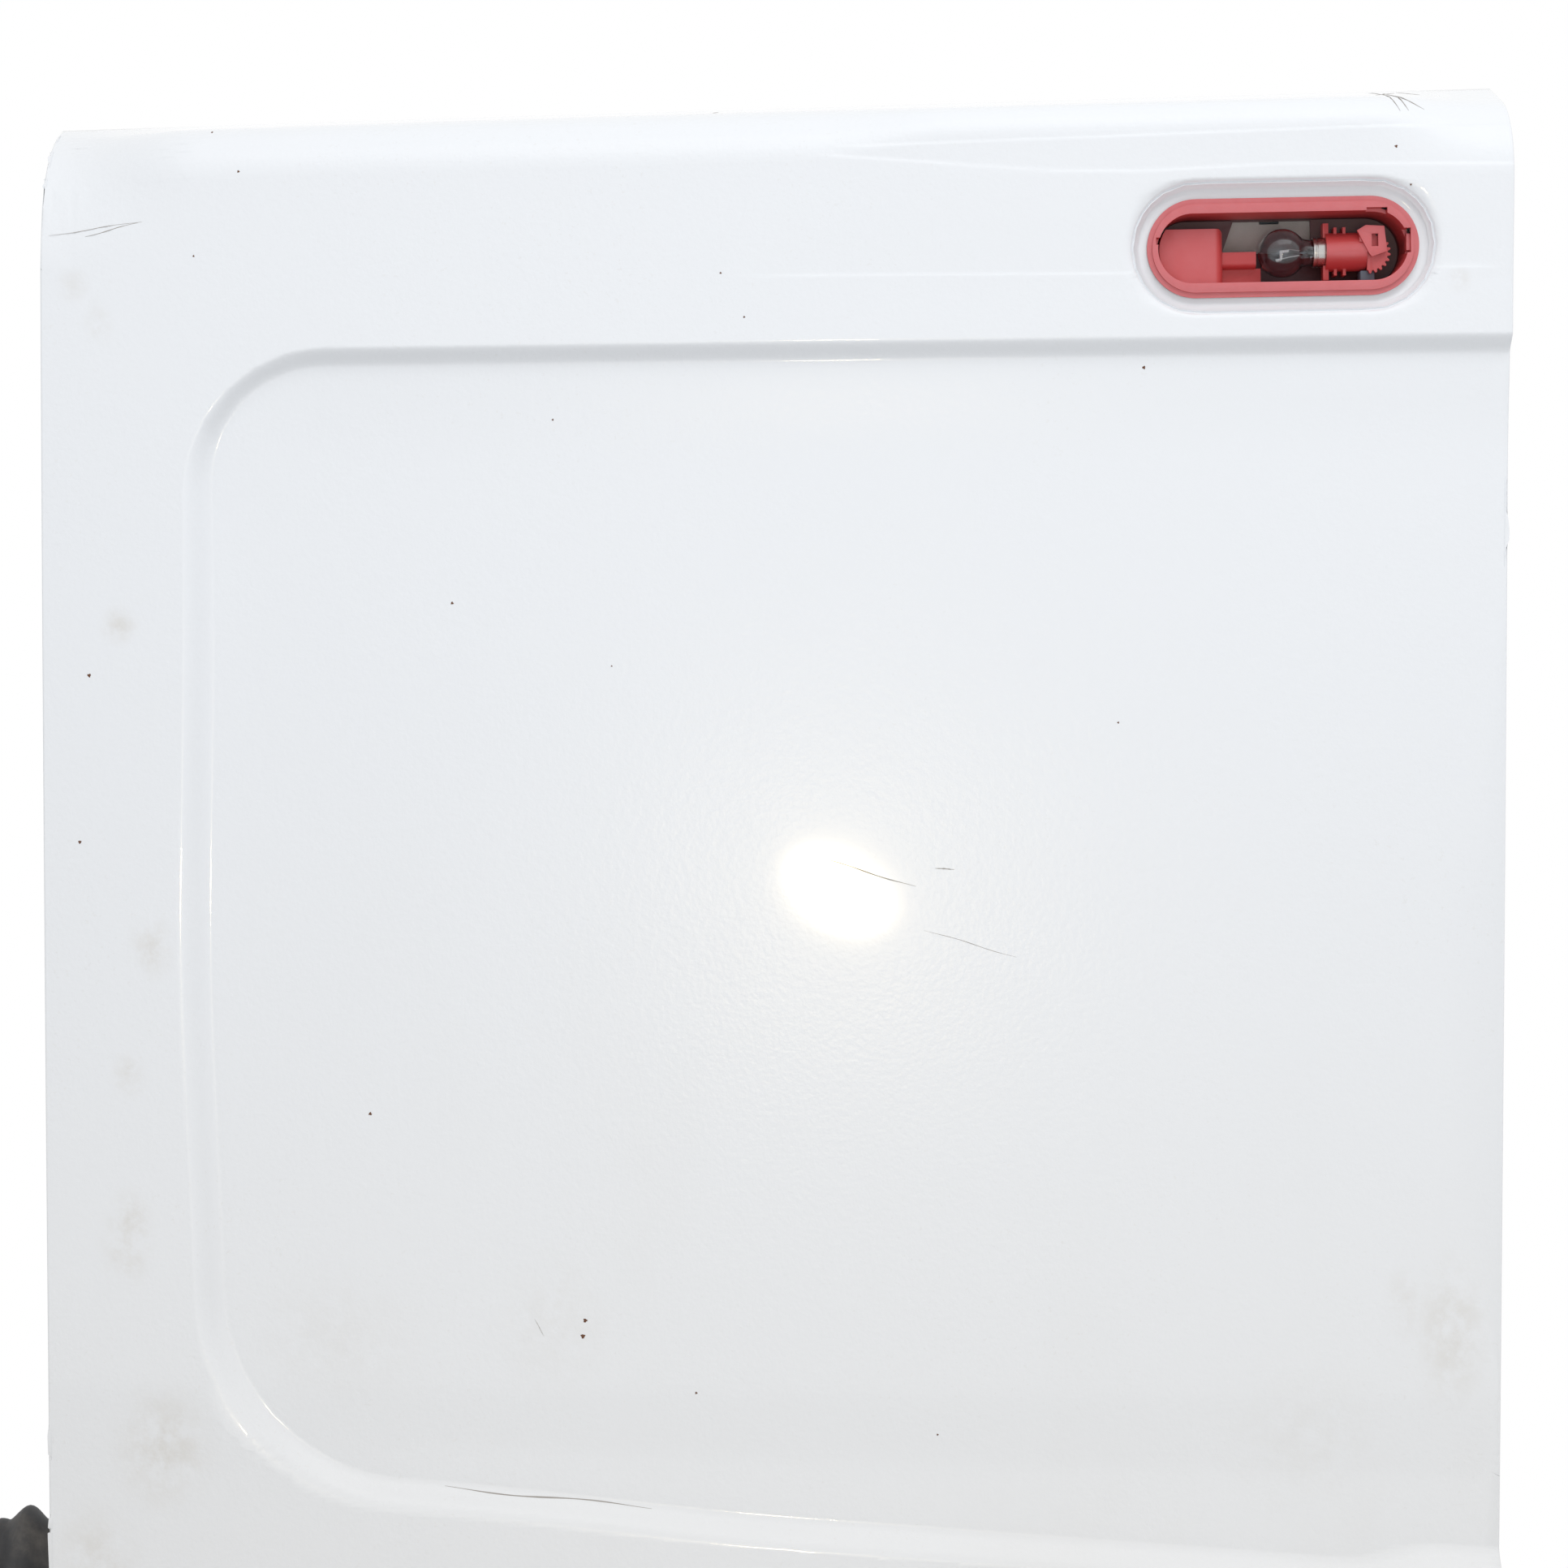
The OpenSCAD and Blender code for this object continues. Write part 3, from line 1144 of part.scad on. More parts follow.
// Rubber gaiter at the hinge edge: humps at a distance from the frame's wall, with a radius and a reach
gaiter_l = 62;
gaiter_bore = 5;
gaiter_t = 3;
gaiter_valley = 13.3;
gaiter_humps = [[23.5, 18.6, 11], [45.5, 21.6, 9], [60, 14.8, 4]];
gaiter_n = 31;
function gaiter_r(h) = max([for (p = gaiter_humps) mix(gaiter_valley, p[1], ease(1 - abs(h - p[0])/p[2]))]);
module gaiter() {
    hs = span(0, gaiter_l, gaiter_n);
    neck_l = inner_t + 2*fit;
    color("dimgray") translate([wall_in - fit, gaiter_y, gaiter_z]) rotate([0, -90, 0])
        rotate_extrude() polygon(concat(
            [[gaiter_bore, -neck_l], [gaiter_neck, -neck_l], [gaiter_neck, 0]],
            [for (h = hs) [gaiter_r(h), h]],
            [for (h = reversed(hs)) [mix(gaiter_bore, gaiter_r(h) - gaiter_t, ease(h/gaiter_valley)), h]]));
}
grommet_r = 11;
grommet_l = 5;
module gaiter_grommet() {
    color("black") translate([wall_d + fit, gaiter_y, gaiter_z]) rotate([0, 90, 0])
        difference() {
            cylinder(r = grommet_r, h = grommet_l);
            translate([0, 0, -1]) cylinder(r = gaiter_bore, h = grommet_l + 2);
        }
}
buffer_r = 12;
buffer_l = 10;
buffer_cone = 3;
buffer_in = 20;
buffer_rise = 135;
buffer_drop = 210;
module edge_buffers() {
    color("black") for (z = [field_low + buffer_rise, door_h - buffer_drop])
        translate([door_w - wall_in - buffer_in, face_back, z]) rotate([-90, 0, 0]) difference() {
            cylinder(r1 = buffer_r, r2 = buffer_r - buffer_cone, h = buffer_l);
            translate([0, 0, buffer_l - buffer_cone]) cylinder(r = buffer_cone, h = buffer_cone + 1);
        }
}
hole_plug_z = 48;
hole_plug_r = 8;
hole_plug_t = 1.5;
module hole_plugs() {
    color("black") for (t = [0.2, 0.34, 0.66])
        translate([door_w*t, face_back, hole_plug_z]) rotate([-90, 0, 0]) {
            cylinder(r = hole_plug_r, h = hole_plug_t);
            cylinder(r = hole_plug_r/2, h = 2*hole_plug_t);
        }
}

// Everything is moved to the lower hinge's mounting face.
mount_x = (leaf_x0 + leaf_x1)/2;
mount_y = leaf_y + leaf_t;
module placed() {
    translate([-mount_x, -mount_y, -hinge_low]) children();
}

placed() outer_skin();
placed() inner_frame();
placed() lower_inner_panel();
placed() waist_rail();
placed() skin_brace();
placed() damping_pads();
placed() lamp_gasket();
placed() lamp_housing();
placed() bulb_holder();
placed() bulb_glass();
placed() bulb_cap();
placed() bulb_filament();
placed() lamp_connector();
placed() lamp_bracket();
placed() plate_plinth();
placed() plate_lamps();
placed() outer_handle();
placed() lock_barrel();
placed() latch_case();
placed() latch_claw();
placed() latch_rods();
placed() top_bolt();
placed() bottom_bolt();
placed() release_bezel();
placed() release_lever();
placed() pull_handle();
placed() upper_door_leaf();
placed() lower_door_leaf();
placed() upper_body_leaf();
placed() lower_body_leaf();
placed() upper_hinge_pin();
placed() lower_hinge_pin();
placed() hinge_plates();
placed() gaiter();
placed() gaiter_grommet();
placed() edge_buffers();
placed() hole_plugs();
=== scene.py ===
"""Looks of a campervan's rear barn door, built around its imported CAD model.

The outer skin is refined from the model's own sheet to its true pressed surface, with a folded hem.
The open brake lamp, the gaiter, the handles and the inner pressings get their finishes here, and the
camera stands where the photographer stood.
"""

import logging
import math
from dataclasses import dataclass, field
from enum import Enum

import bmesh
import bpy
import numpy as np
from mathutils import Matrix, Vector

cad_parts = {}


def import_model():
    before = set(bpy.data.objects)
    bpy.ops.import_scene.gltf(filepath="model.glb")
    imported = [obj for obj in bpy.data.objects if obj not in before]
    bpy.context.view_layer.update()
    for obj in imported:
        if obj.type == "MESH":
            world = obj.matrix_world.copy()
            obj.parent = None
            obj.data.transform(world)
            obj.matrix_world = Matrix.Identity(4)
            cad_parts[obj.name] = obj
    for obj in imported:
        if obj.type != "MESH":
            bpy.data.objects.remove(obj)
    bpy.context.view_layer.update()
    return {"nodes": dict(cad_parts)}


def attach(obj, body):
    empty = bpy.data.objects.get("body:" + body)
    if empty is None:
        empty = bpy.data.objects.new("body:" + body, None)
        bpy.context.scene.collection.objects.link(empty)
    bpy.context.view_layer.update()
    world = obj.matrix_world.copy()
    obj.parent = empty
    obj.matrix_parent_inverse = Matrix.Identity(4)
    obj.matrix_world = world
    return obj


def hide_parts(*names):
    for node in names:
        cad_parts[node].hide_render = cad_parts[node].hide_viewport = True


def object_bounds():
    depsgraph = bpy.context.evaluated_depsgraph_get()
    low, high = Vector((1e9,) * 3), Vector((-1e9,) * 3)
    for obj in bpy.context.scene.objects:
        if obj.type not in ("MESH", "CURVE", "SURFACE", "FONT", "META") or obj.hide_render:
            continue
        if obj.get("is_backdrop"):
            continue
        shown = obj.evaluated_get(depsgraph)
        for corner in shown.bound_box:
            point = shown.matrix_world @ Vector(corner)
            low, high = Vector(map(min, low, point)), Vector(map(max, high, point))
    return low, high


LOG = logging.getLogger("barn_door")
MM = 0.001


class Body(Enum):
    """Bodies of the model that pieces ride on."""

    DOOR = "door"
    PILLAR = "root"


class Slot(Enum):
    """Material slots of the record."""

    PAINT = "door_paint"
    MAT = "damping_mat"
    RUBBER = "black_rubber"
    RED = "lamp_red"
    GLASS = "bulb_glass"
    BULB_METAL = "bulb_metal"
    CONNECTOR = "connector_grey"
    BRACKET = "bracket_grey"
    PLASTIC = "black_plastic"
    LENS = "lamp_lens"
    ZINC = "zinc"
    STEEL = "latch_steel"
    HINGE = "hinge_paint"


def ease(t: np.ndarray | float) -> np.ndarray | float:
    """Returns a smooth step of t between 0 and 1."""
    c = np.clip(t, 0.0, 1.0)
    return c * c * (3 - 2 * c)


def mix(a: float, b: float, t: np.ndarray | float) -> np.ndarray | float:
    """Returns the value that lies a share t of the way from a to b."""
    return a + (b - a) * t


@dataclass(frozen=True)
class DoorForm:
    """Pressed surface of the outer skin, as y over (x, z) in millimetres of the door.

    x runs from the hinge edge, y inwards from the skin, and z upwards from the bottom edge. With fine at 0 it is
    the plain CAD sheet, and with fine at 1 the sheet as pressed, with tighter bends at the roof and the field.
    """

    fine: float = 0.0

    width: float = 750.0
    height: float = 1390.0
    top_fall: float = 19.0
    crown_side: float = 6.0
    crown_reach: float = 0.55
    crown_up: float = 8.0
    roof_drop: float = 81.0
    roof_r: float = 85.0
    roof_far_drop: float = 54.0
    roof_far_r: float = 45.0
    roof_lean: float = math.radians(68)
    brow_drop: float = 38.0
    brow_far_drop: float = 28.5
    brow_lean: float = math.radians(77)
    brow_edge: float = 3.0
    brow_run: float = 75.0
    ledges: tuple[tuple[float, float, float, float, float], ...] = (
        (418.0, 1350.9, 752.0, 1362.8, 0.9), (404.0, 1346.2, 516.4, 1337.9, 1.1), (516.4, 1337.9, 565.0, 1337.9, 1.1),
        (565.0, 1337.9, 632.0, 1341.4, 1.1), (632.0, 1341.4, 752.0, 1341.4, 1.1), (372.0, 1285.6, 561.0, 1286.4, 1.0),
        (709.0, 1289.3, 738.0, 1289.8, 0.9),
    )
    ledge_depth: float = 0.5
    ledge_foot: float = 35.0
    ledge_fade: float = 16.0
    pad_inset: float = 355.0
    pad_run: float = 70.0
    pad_low_drop: float = 106.0
    pad_lean: float = 1.6
    field_depth: float = 10.0
    field_step: float = 15.0
    field_left: float = 80.0
    field_drop: float = 139.0
    field_low: float = 625.0
    field_rise: float = 53.0
    field_top_slope: float = 0.0104
    field_skew: float = 6.0
    field_r_top: float = 66.0
    field_r_low: float = 95.0
    low_fall: float = 5.8
    low_fall_more: float = 5.0
    low_fall_from: float = 190.0
    low_fall_run: float = 200.0
    low_fall_end: float = 30.0
    low_fall_out: float = 50.0
    left_bow: float = 4.1
    left_bow_z: float = 931.0
    left_bow_reach: float = 116.0
    top_step: float = 9.6
    top_step_off: float = 0.6
    top_step_share: float = 0.66
    top_step_run: float = 90.0
    top_slow_run: float = 60.0
    lamp_inset: float = 116.0
    lamp_drop: float = 90.0
    lamp_tilt: float = math.radians(1)
    lamp_w: float = 138.0
    lamp_h: float = 50.0
    dish_depth: float = 7.0
    dish_gap: float = 2.0
    dish_wall: float = 7.0
    dish_edge: float = 0.2
    plate_w: float = 536.0
    plate_h: float = 132.0
    plate_off: float = 9.0
    plate_z: float = 322.0
    plate_depth: float = 8.0
    plate_r: float = 18.0
    plate_wall: float = 10.0
    hinge_low: float = 230.0
    pin_inset: float = 16.0
    leaf_reach: float = 34.0
    leaf_t: float = 6.0
    mount_x: float = 11.5

    @property
    def lamp_x(self) -> float:
        """Middle of the lamp from the hinge edge."""
        return self.width - self.lamp_inset

    @property
    def lamp_z(self) -> float:
        """Middle of the lamp above the bottom edge."""
        return self.height - self.lamp_drop

    @property
    def plate_x(self) -> float:
        """Middle of the plate recess from the hinge edge."""
        return self.width / 2 - self.plate_off

    def top(self, x: np.ndarray | float) -> np.ndarray | float:
        """Returns the height of the top edge at x."""
        return self.height - self.top_fall * (1 - x / self.width)

    def crown(self, x: np.ndarray, z: np.ndarray) -> np.ndarray:
        """Returns the gentle bow of the whole leaf."""
        side = np.maximum(0.0, 1 - x / (self.crown_reach * self.width))
        up = (z - self.height / 2) / (self.height / 2)
        return self.crown_side * side**2 + self.crown_up * up**2

    def bend(self, h: np.ndarray, r: np.ndarray, lean: float) -> np.ndarray:
        """Returns how far a bend of radius r, up to a lean, has turned inwards at height h above its foot."""
        arc = r * math.sin(lean)
        low = np.clip(h, 0.0, arc)
        turned = r - np.sqrt(np.maximum(0.0, r * r - low * low))
        return turned + np.maximum(0.0, h - arc) * math.tan(lean)

    def brow(self, x: np.ndarray, z: np.ndarray, share: np.ndarray) -> np.ndarray:
        """Returns the tighter bend of the pressed roof edge, which ends where the plain bend ends."""
        drop = mix(self.brow_drop, self.brow_far_drop, share)
        ends = self.bend(self.roof_drop, self.roof_r, self.roof_lean)
        per_r = 1 - math.cos(self.brow_lean) - math.sin(self.brow_lean) * math.tan(self.brow_lean)
        r = (ends - drop * math.tan(self.brow_lean)) / per_r
        return self.bend(z - self.top(x) + drop, r, self.brow_lean)

    def roof(self, x: np.ndarray, z: np.ndarray) -> np.ndarray:
        """Returns the bend towards the roof, with the flat pad round the lamp."""
        share = ease((x - (self.width - self.pad_inset)) / self.pad_run)
        foot = self.top(x) - mix(self.roof_drop, self.roof_far_drop, share)
        low = self.top(x) - self.pad_low_drop
        lean = share * self.pad_lean * np.clip((z - low) / (self.height - self.roof_far_drop - low), 0, 1)
        plain = self.bend(z - foot, mix(self.roof_r, self.roof_far_r, share), self.roof_lean)
        inside = ease((np.minimum(x, self.width - x) - self.brow_edge) / self.brow_run)
        return mix(plain, self.brow(x, z, share), self.fine * inside) - lean

    def field_top(self, x: np.ndarray | float) -> np.ndarray | float:
        """Returns the height of the window field's upper side at x."""
        return self.height - self.field_drop - self.field_top_slope * (self.width - x)

    def field_bottom(self, x: np.ndarray | float) -> np.ndarray | float:
        """Returns the height of the window field's lower side at x."""
        fall = self.low_fall + self.low_fall_more * ease((x - self.low_fall_from) / self.low_fall_run)
        fall *= ease((self.width - self.low_fall_end - x) / self.low_fall_out)
        return self.field_low + self.field_rise * (1 - x / self.width) - self.fine * fall

    def field_inset(self, x: np.ndarray, z: np.ndarray) -> np.ndarray:
        """Returns how far a point lies inside the window field's outline."""
        tall = self.field_top(self.field_left) - self.field_bottom(self.field_left)
        b = (z - self.field_top(x)) * tall / (self.field_top(x) - self.field_bottom(x))
        bow = self.left_bow * np.exp(-(((z - self.left_bow_z) / self.left_bow_reach) ** 2))
        a = x - self.field_left - self.field_skew * (b / tall) ** 2 + self.fine * bow
        up = b + self.field_r_top
        down = -(b + tall - self.field_r_low)
        plain = np.minimum(a, np.minimum(-b, b + tall))
        upper = self.field_r_top - np.hypot(a - self.field_r_top, up)
        lower = self.field_r_low - np.hypot(a - self.field_r_low, down)
        inset = np.where((a < self.field_r_low) & (down > 0), lower, plain)
        return np.where((a < self.field_r_top) & (up > 0), upper, inset)

    def lamp_uv(self, x: np.ndarray, z: np.ndarray) -> tuple[np.ndarray, np.ndarray]:
        """Returns a point in the lamp's own directions, along its length and upwards."""
        c, s = math.cos(self.lamp_tilt), math.sin(self.lamp_tilt)
        dx, dz = x - self.lamp_x, z - self.lamp_z
        return dx * c + dz * s, dz * c - dx * s

    def creases(self, x: np.ndarray, z: np.ndarray) -> np.ndarray:
        """Returns the depth of the narrow ledges pressed round the flat pad, which face up."""
        deep = np.zeros(np.broadcast(x, z).shape)
        for x0, z0, x1, z1, half in self.ledges:
            above = z - z0 - (x - x0) * (z1 - z0) / (x1 - x0)
            ends = ease((x - x0) / self.ledge_fade + 0.5) * ease((x1 - x) / self.ledge_fade + 0.5)
            deep = deep + ease(0.5 + above / (2 * half)) * ease(1 - above / self.ledge_foot) * ends
        return self.fine * self.ledge_depth * deep

    def dish(self, x: np.ndarray, z: np.ndarray) -> np.ndarray:
        """Returns the depth of the dish round the lamp."""
        u, v = self.lamp_uv(x, z)
        reach = np.hypot(np.maximum(0, np.abs(u) - (self.lamp_w - self.lamp_h) / 2), v) - self.lamp_h / 2
        left = 1 - np.clip((reach - self.dish_gap) / self.dish_wall, 0, 8) ** 2
        return self.dish_depth / 2 * (left + np.hypot(left, self.dish_edge))

    def plate(self, x: np.ndarray, z: np.ndarray) -> np.ndarray:
        """Returns the depth of the bare recess for a number plate."""
        p = np.abs(x - self.plate_x) - self.plate_w / 2 + self.plate_r
        q = np.abs(z - self.plate_z - self.plate_h / 2) - self.plate_h / 2 + self.plate_r
        reach = np.hypot(np.maximum(0, p), np.maximum(0, q)) + np.minimum(0, np.maximum(p, q)) - self.plate_r
        return self.plate_depth * (1 - ease(reach / self.plate_wall + 0.5))

    def field(self, x: np.ndarray, z: np.ndarray) -> np.ndarray:
        """Returns the depth of the window field, whose upper step is narrower on the fine sheet."""
        inset = self.field_inset(x, z)
        high = self.fine * ease((z - self.field_top(x) + self.top_step_run) / self.top_step_run)
        wide = mix(self.field_step, self.top_step, high)
        quick = ease((inset + high * self.top_step_off + wide / 2) / wide)
        slow = ease(inset / self.top_slow_run)
        return self.field_depth * mix(quick, slow, high * (1 - self.top_step_share))

    def depth(self, x: np.ndarray | float, z: np.ndarray | float) -> np.ndarray:
        """Returns y of the skin's outer face."""
        x, z = np.asarray(x, float), np.asarray(z, float)
        pressed = self.field(x, z) + self.creases(x, z) + self.dish(x, z) + self.plate(x, z)
        return self.crown(x, z) + self.roof(x, z) + pressed

    def point(self, x: np.ndarray | float, z: np.ndarray | float, off: float = 0.0) -> np.ndarray:
        """Returns points on the skin, moved inwards by off along the surface's normal.

        Args:
            x: Distance from the hinge edge.
            z: Height above the bottom edge.
            off: Distance behind the outer face.

        Returns:
            An array whose last axis holds x, y and z.
        """
        x, z = np.asarray(x, float), np.asarray(z, float)
        e = 0.4
        n = np.stack([
            -(self.depth(x + e, z) - self.depth(x - e, z)) / (2 * e),
            np.ones_like(x + z),
            -(self.depth(x, z + e) - self.depth(x, z - e)) / (2 * e),
        ], axis=-1)
        n /= np.linalg.norm(n, axis=-1, keepdims=True)
        return np.stack([x + 0 * z, self.depth(x, z), z + 0 * x], axis=-1) + off * n

    @property
    def origin(self) -> np.ndarray:
        """Returns the mounting point, which is the row's origin, in the door's millimetres."""
        reach = self.pin_inset + self.leaf_reach + self.leaf_t
        return np.array([self.mount_x, float(self.depth(self.pin_inset, self.hinge_low)) + reach, self.hinge_low])

    def to_row(self, points: np.ndarray) -> np.ndarray:
        """Returns points of the door in the row's frame, in metres."""
        return (np.asarray(points, float) - self.origin) * MM

    def to_door(self, points: np.ndarray) -> np.ndarray:
        """Returns points of the row's frame in the door's millimetres."""
        return np.asarray(points, float) / MM + self.origin


SHEET = DoorForm()
FORM = DoorForm(fine=1.0)


class Finish:
    """A node-based material under construction, with short ways to add and join its nodes."""

    def __init__(self, name: str, color: tuple[float, float, float], roughness: float, metallic: float = 0.0) -> None:
        """Starts a material with its main shader.

        Args:
            name: Name of the material.
            color: Base colour, linear.
            roughness: Roughness of the main shader.
            metallic: 1 for bare metal.
        """
        self.material = bpy.data.materials.new(name)
        self.material.use_nodes = True
        self.nodes = self.material.node_tree.nodes
        self.shader = self.nodes["Principled BSDF"]
        self.set("Base Color", (*color, 1.0))
        self.set("Roughness", roughness)
        self.set("Metallic", metallic)
        self.coords = self.add("ShaderNodeTexCoord")

    def set(self, socket: str, value: object) -> None:
        """Sets a constant on the shader's own socket."""
        self.shader.inputs[socket].default_value = value

    def add(self, kind: str, **settings: object) -> bpy.types.Node:
        """Adds a node of a kind and returns it with its settings made."""
        node = self.nodes.new(kind)
        for key, value in settings.items():
            setattr(node, key, value)
        return node

    def join(self, source: bpy.types.NodeSocket, target: bpy.types.NodeSocket) -> None:
        """Links a source socket to a target socket."""
        self.material.node_tree.links.new(source, target)

    def feed(self, node: bpy.types.Node, index: int | str, value: object) -> None:
        """Gives an input a link, if value is a socket, or else a constant."""
        if isinstance(value, bpy.types.NodeSocket):
            self.join(value, node.inputs[index])
        else:
            node.inputs[index].default_value = value

    def place(self) -> bpy.types.NodeSocket:
        """Returns the Object coordinates."""
        return self.coords.outputs["Object"]

    def scaled(self, scale: tuple[float, float, float]) -> bpy.types.NodeSocket:
        """Returns the Object coordinates stretched along each axis."""
        node = self.add("ShaderNodeMapping")
        self.join(self.place(), node.inputs["Vector"])
        node.inputs["Scale"].default_value = scale
        return node.outputs["Vector"]

    def noise(self, scale: float, detail: float = 3.0, rough: float = 0.55,
              where: bpy.types.NodeSocket | None = None) -> bpy.types.NodeSocket:
        """Returns a noise from 0 to 1, with scale in waves per metre."""
        node = self.add("ShaderNodeTexNoise")
        self.join(where or self.place(), node.inputs["Vector"])
        node.inputs["Scale"].default_value = scale
        node.inputs["Detail"].default_value = detail
        node.inputs["Roughness"].default_value = rough
        return node.outputs["Fac"]

    def math(self, operation: str, a: object, b: object = 0.0) -> bpy.types.NodeSocket:
        """Returns a sum, product or other plain operation on two values."""
        node = self.add("ShaderNodeMath", operation=operation)
        self.feed(node, 0, a)
        self.feed(node, 1, b)
        return node.outputs["Value"]

    def band(self, value: bpy.types.NodeSocket, low: float, high: float,
             to_low: float = 0.0, to_high: float = 1.0) -> bpy.types.NodeSocket:
        """Returns value mapped from low..high to to_low..to_high, smoothly and without overshoot."""
        node = self.add("ShaderNodeMapRange", interpolation_type="SMOOTHSTEP")
        self.join(value, node.inputs["Value"])
        for key, number in (("From Min", low), ("From Max", high), ("To Min", to_low), ("To Max", to_high)):
            node.inputs[key].default_value = number
        return node.outputs["Result"]

    def axis(self, name: str) -> bpy.types.NodeSocket:
        """Returns the X, Y or Z of the Object coordinates."""
        node = self.add("ShaderNodeSeparateXYZ")
        self.join(self.place(), node.inputs["Vector"])
        return node.outputs[name]

    def spot(self, centre: np.ndarray, stretch: tuple[float, float, float], radius: float) -> bpy.types.NodeSocket:
        """Returns a soft blot, 1 at its centre and 0 from its radius outwards.

        Args:
            centre: Middle of the blot in the row's frame.
            stretch: Factors on the distance along each axis.
            radius: Radius in metres.
        """
        away = self.add("ShaderNodeVectorMath", operation="SUBTRACT")
        self.join(self.place(), away.inputs[0])
        away.inputs[1].default_value = centre
        scaled = self.add("ShaderNodeVectorMath", operation="MULTIPLY")
        self.join(away.outputs["Vector"], scaled.inputs[0])
        scaled.inputs[1].default_value = stretch
        length = self.add("ShaderNodeVectorMath", operation="LENGTH")
        self.join(scaled.outputs["Vector"], length.inputs[0])
        return self.band(length.outputs["Value"], 0.0, radius, 1.0, 0.0)

    def blend(self, share: object, a: object, b: object) -> bpy.types.NodeSocket:
        """Returns the colour between a and b at a share."""
        node = self.add("ShaderNodeMix", data_type="RGBA")
        self.feed(node, 0, share)
        self.feed(node, 6, (*a, 1.0) if isinstance(a, tuple) else a)
        self.feed(node, 7, (*b, 1.0) if isinstance(b, tuple) else b)
        return node.outputs[2]

    def color(self, source: bpy.types.NodeSocket) -> None:
        """Drives the base colour."""
        self.join(source, self.shader.inputs["Base Color"])

    def rough(self, source: bpy.types.NodeSocket) -> None:
        """Drives the roughness."""
        self.join(source, self.shader.inputs["Roughness"])

    def bump(self, height: bpy.types.NodeSocket, depth: float, strength: float = 1.0) -> None:
        """Adds a bump of a depth in metres, over the bumps that are there."""
        node = self.add("ShaderNodeBump")
        node.inputs["Strength"].default_value = strength
        node.inputs["Distance"].default_value = depth
        self.join(height, node.inputs["Height"])
        normal = self.shader.inputs["Normal"]
        if normal.is_linked:
            self.join(normal.links[0].from_socket, node.inputs["Normal"])
        self.join(node.outputs["Normal"], normal)


@dataclass(frozen=True)
class VanPaint:
    """Old white coachwork paint: a clear top coat, orange peel, stains and road film."""

    # white is the top's tone with a painted bluish light on it; shaded is the painted shade lower down.
    white: tuple[float, float, float] = (0.775, 0.805, 0.85)
    shaded: tuple[float, float, float] = (0.735, 0.74, 0.745)
    film: tuple[float, float, float] = (0.52, 0.475, 0.40)
    roughness: float = 0.25
    coat_roughness: float = 0.05
    stains: tuple[tuple[float, float, float, float, float], ...] = (
        (40, 1108, 13, 1.0, 0.22), (56, 943, 15, 0.7, 0.20), (44, 877, 12, 0.8, 0.20), (44, 799, 15, 0.6, 0.22),
        (724, 745, 26, 0.5, 0.22), (60, 684, 34, 0.8, 0.24), (722, 1283, 9, 1.0, 0.16), (17, 1282, 12, 1.0, 0.12),
        (30, 1263, 10, 0.6, 0.12), (42, 790, 18, 0.6, 0.20), (700, 760, 14, 0.5, 0.12), (24, 620, 30, 0.7, 0.20),
        (262, 748, 40, 0.8, 0.08), (150, 740, 60, 1.2, 0.07), (650, 690, 60, 1.0, 0.06),
    )

    def build(self, name: str, dirt: float = 1.0) -> bpy.types.Material:
        """Returns the paint.

        Args:
            name: Name of the material.
            dirt: How strong the stains and the road film are.
        """
        f = Finish(name, self.white, self.roughness)
        f.set("Coat Weight", 1.0)
        f.set("Coat Roughness", self.coat_roughness)
        f.set("Specular IOR Level", 0.5)
        height = f.axis("Z")
        clouds = f.noise(5.0, 4.0, 0.6)
        # Painted light and shade: the paint blends from the bluish white at the top to the greyer shaded tone at the
        # bottom.
        height_shade = f.blend(f.band(height, 0.1, 1.0, 1.0, 0.0), self.white, self.shaded)
        drift = f.band(f.noise(3.2, 5.0, 0.6, f.scaled((1.0, 1.0, 0.45))), 0.50, 0.74)
        speckle = f.band(f.noise(420.0, 2.0, 0.6), 0.63, 0.72)
        film = f.math("MULTIPLY", drift, f.band(height, 0.95, -0.2, 0.0, 0.34))
        film = f.math("ADD", film, f.math("MULTIPLY", speckle, f.band(clouds, 0.45, 0.62, 0.0, 0.10)))
        grime_and_shade = f.band(f.noise(75.0, 5.0, 0.65), 0.30, 0.66)
        for x, z, radius, flat, share in self.stains:
            blot = f.spot(tuple(FORM.to_row(FORM.point(x, z))), (1.0, 0.6, flat), radius * MM)
            film = f.math("MAXIMUM", film, f.math("MULTIPLY", f.math("MULTIPLY", blot, grime_and_shade), share * 1.6))
        f.color(f.blend(f.math("MULTIPLY", film, dirt), height_shade, self.film))
        worn = f.band(clouds, 0.3, 0.7, self.roughness - 0.02, self.roughness + 0.01)
        f.rough(f.math("ADD", f.math("MULTIPLY", film, 0.02), worn))
        f.bump(f.noise(330.0, 2.0, 0.5), 0.00022, 0.6)
        f.bump(f.noise(9.0, 1.0, 0.4), 0.0018, 0.20)
        return f.material


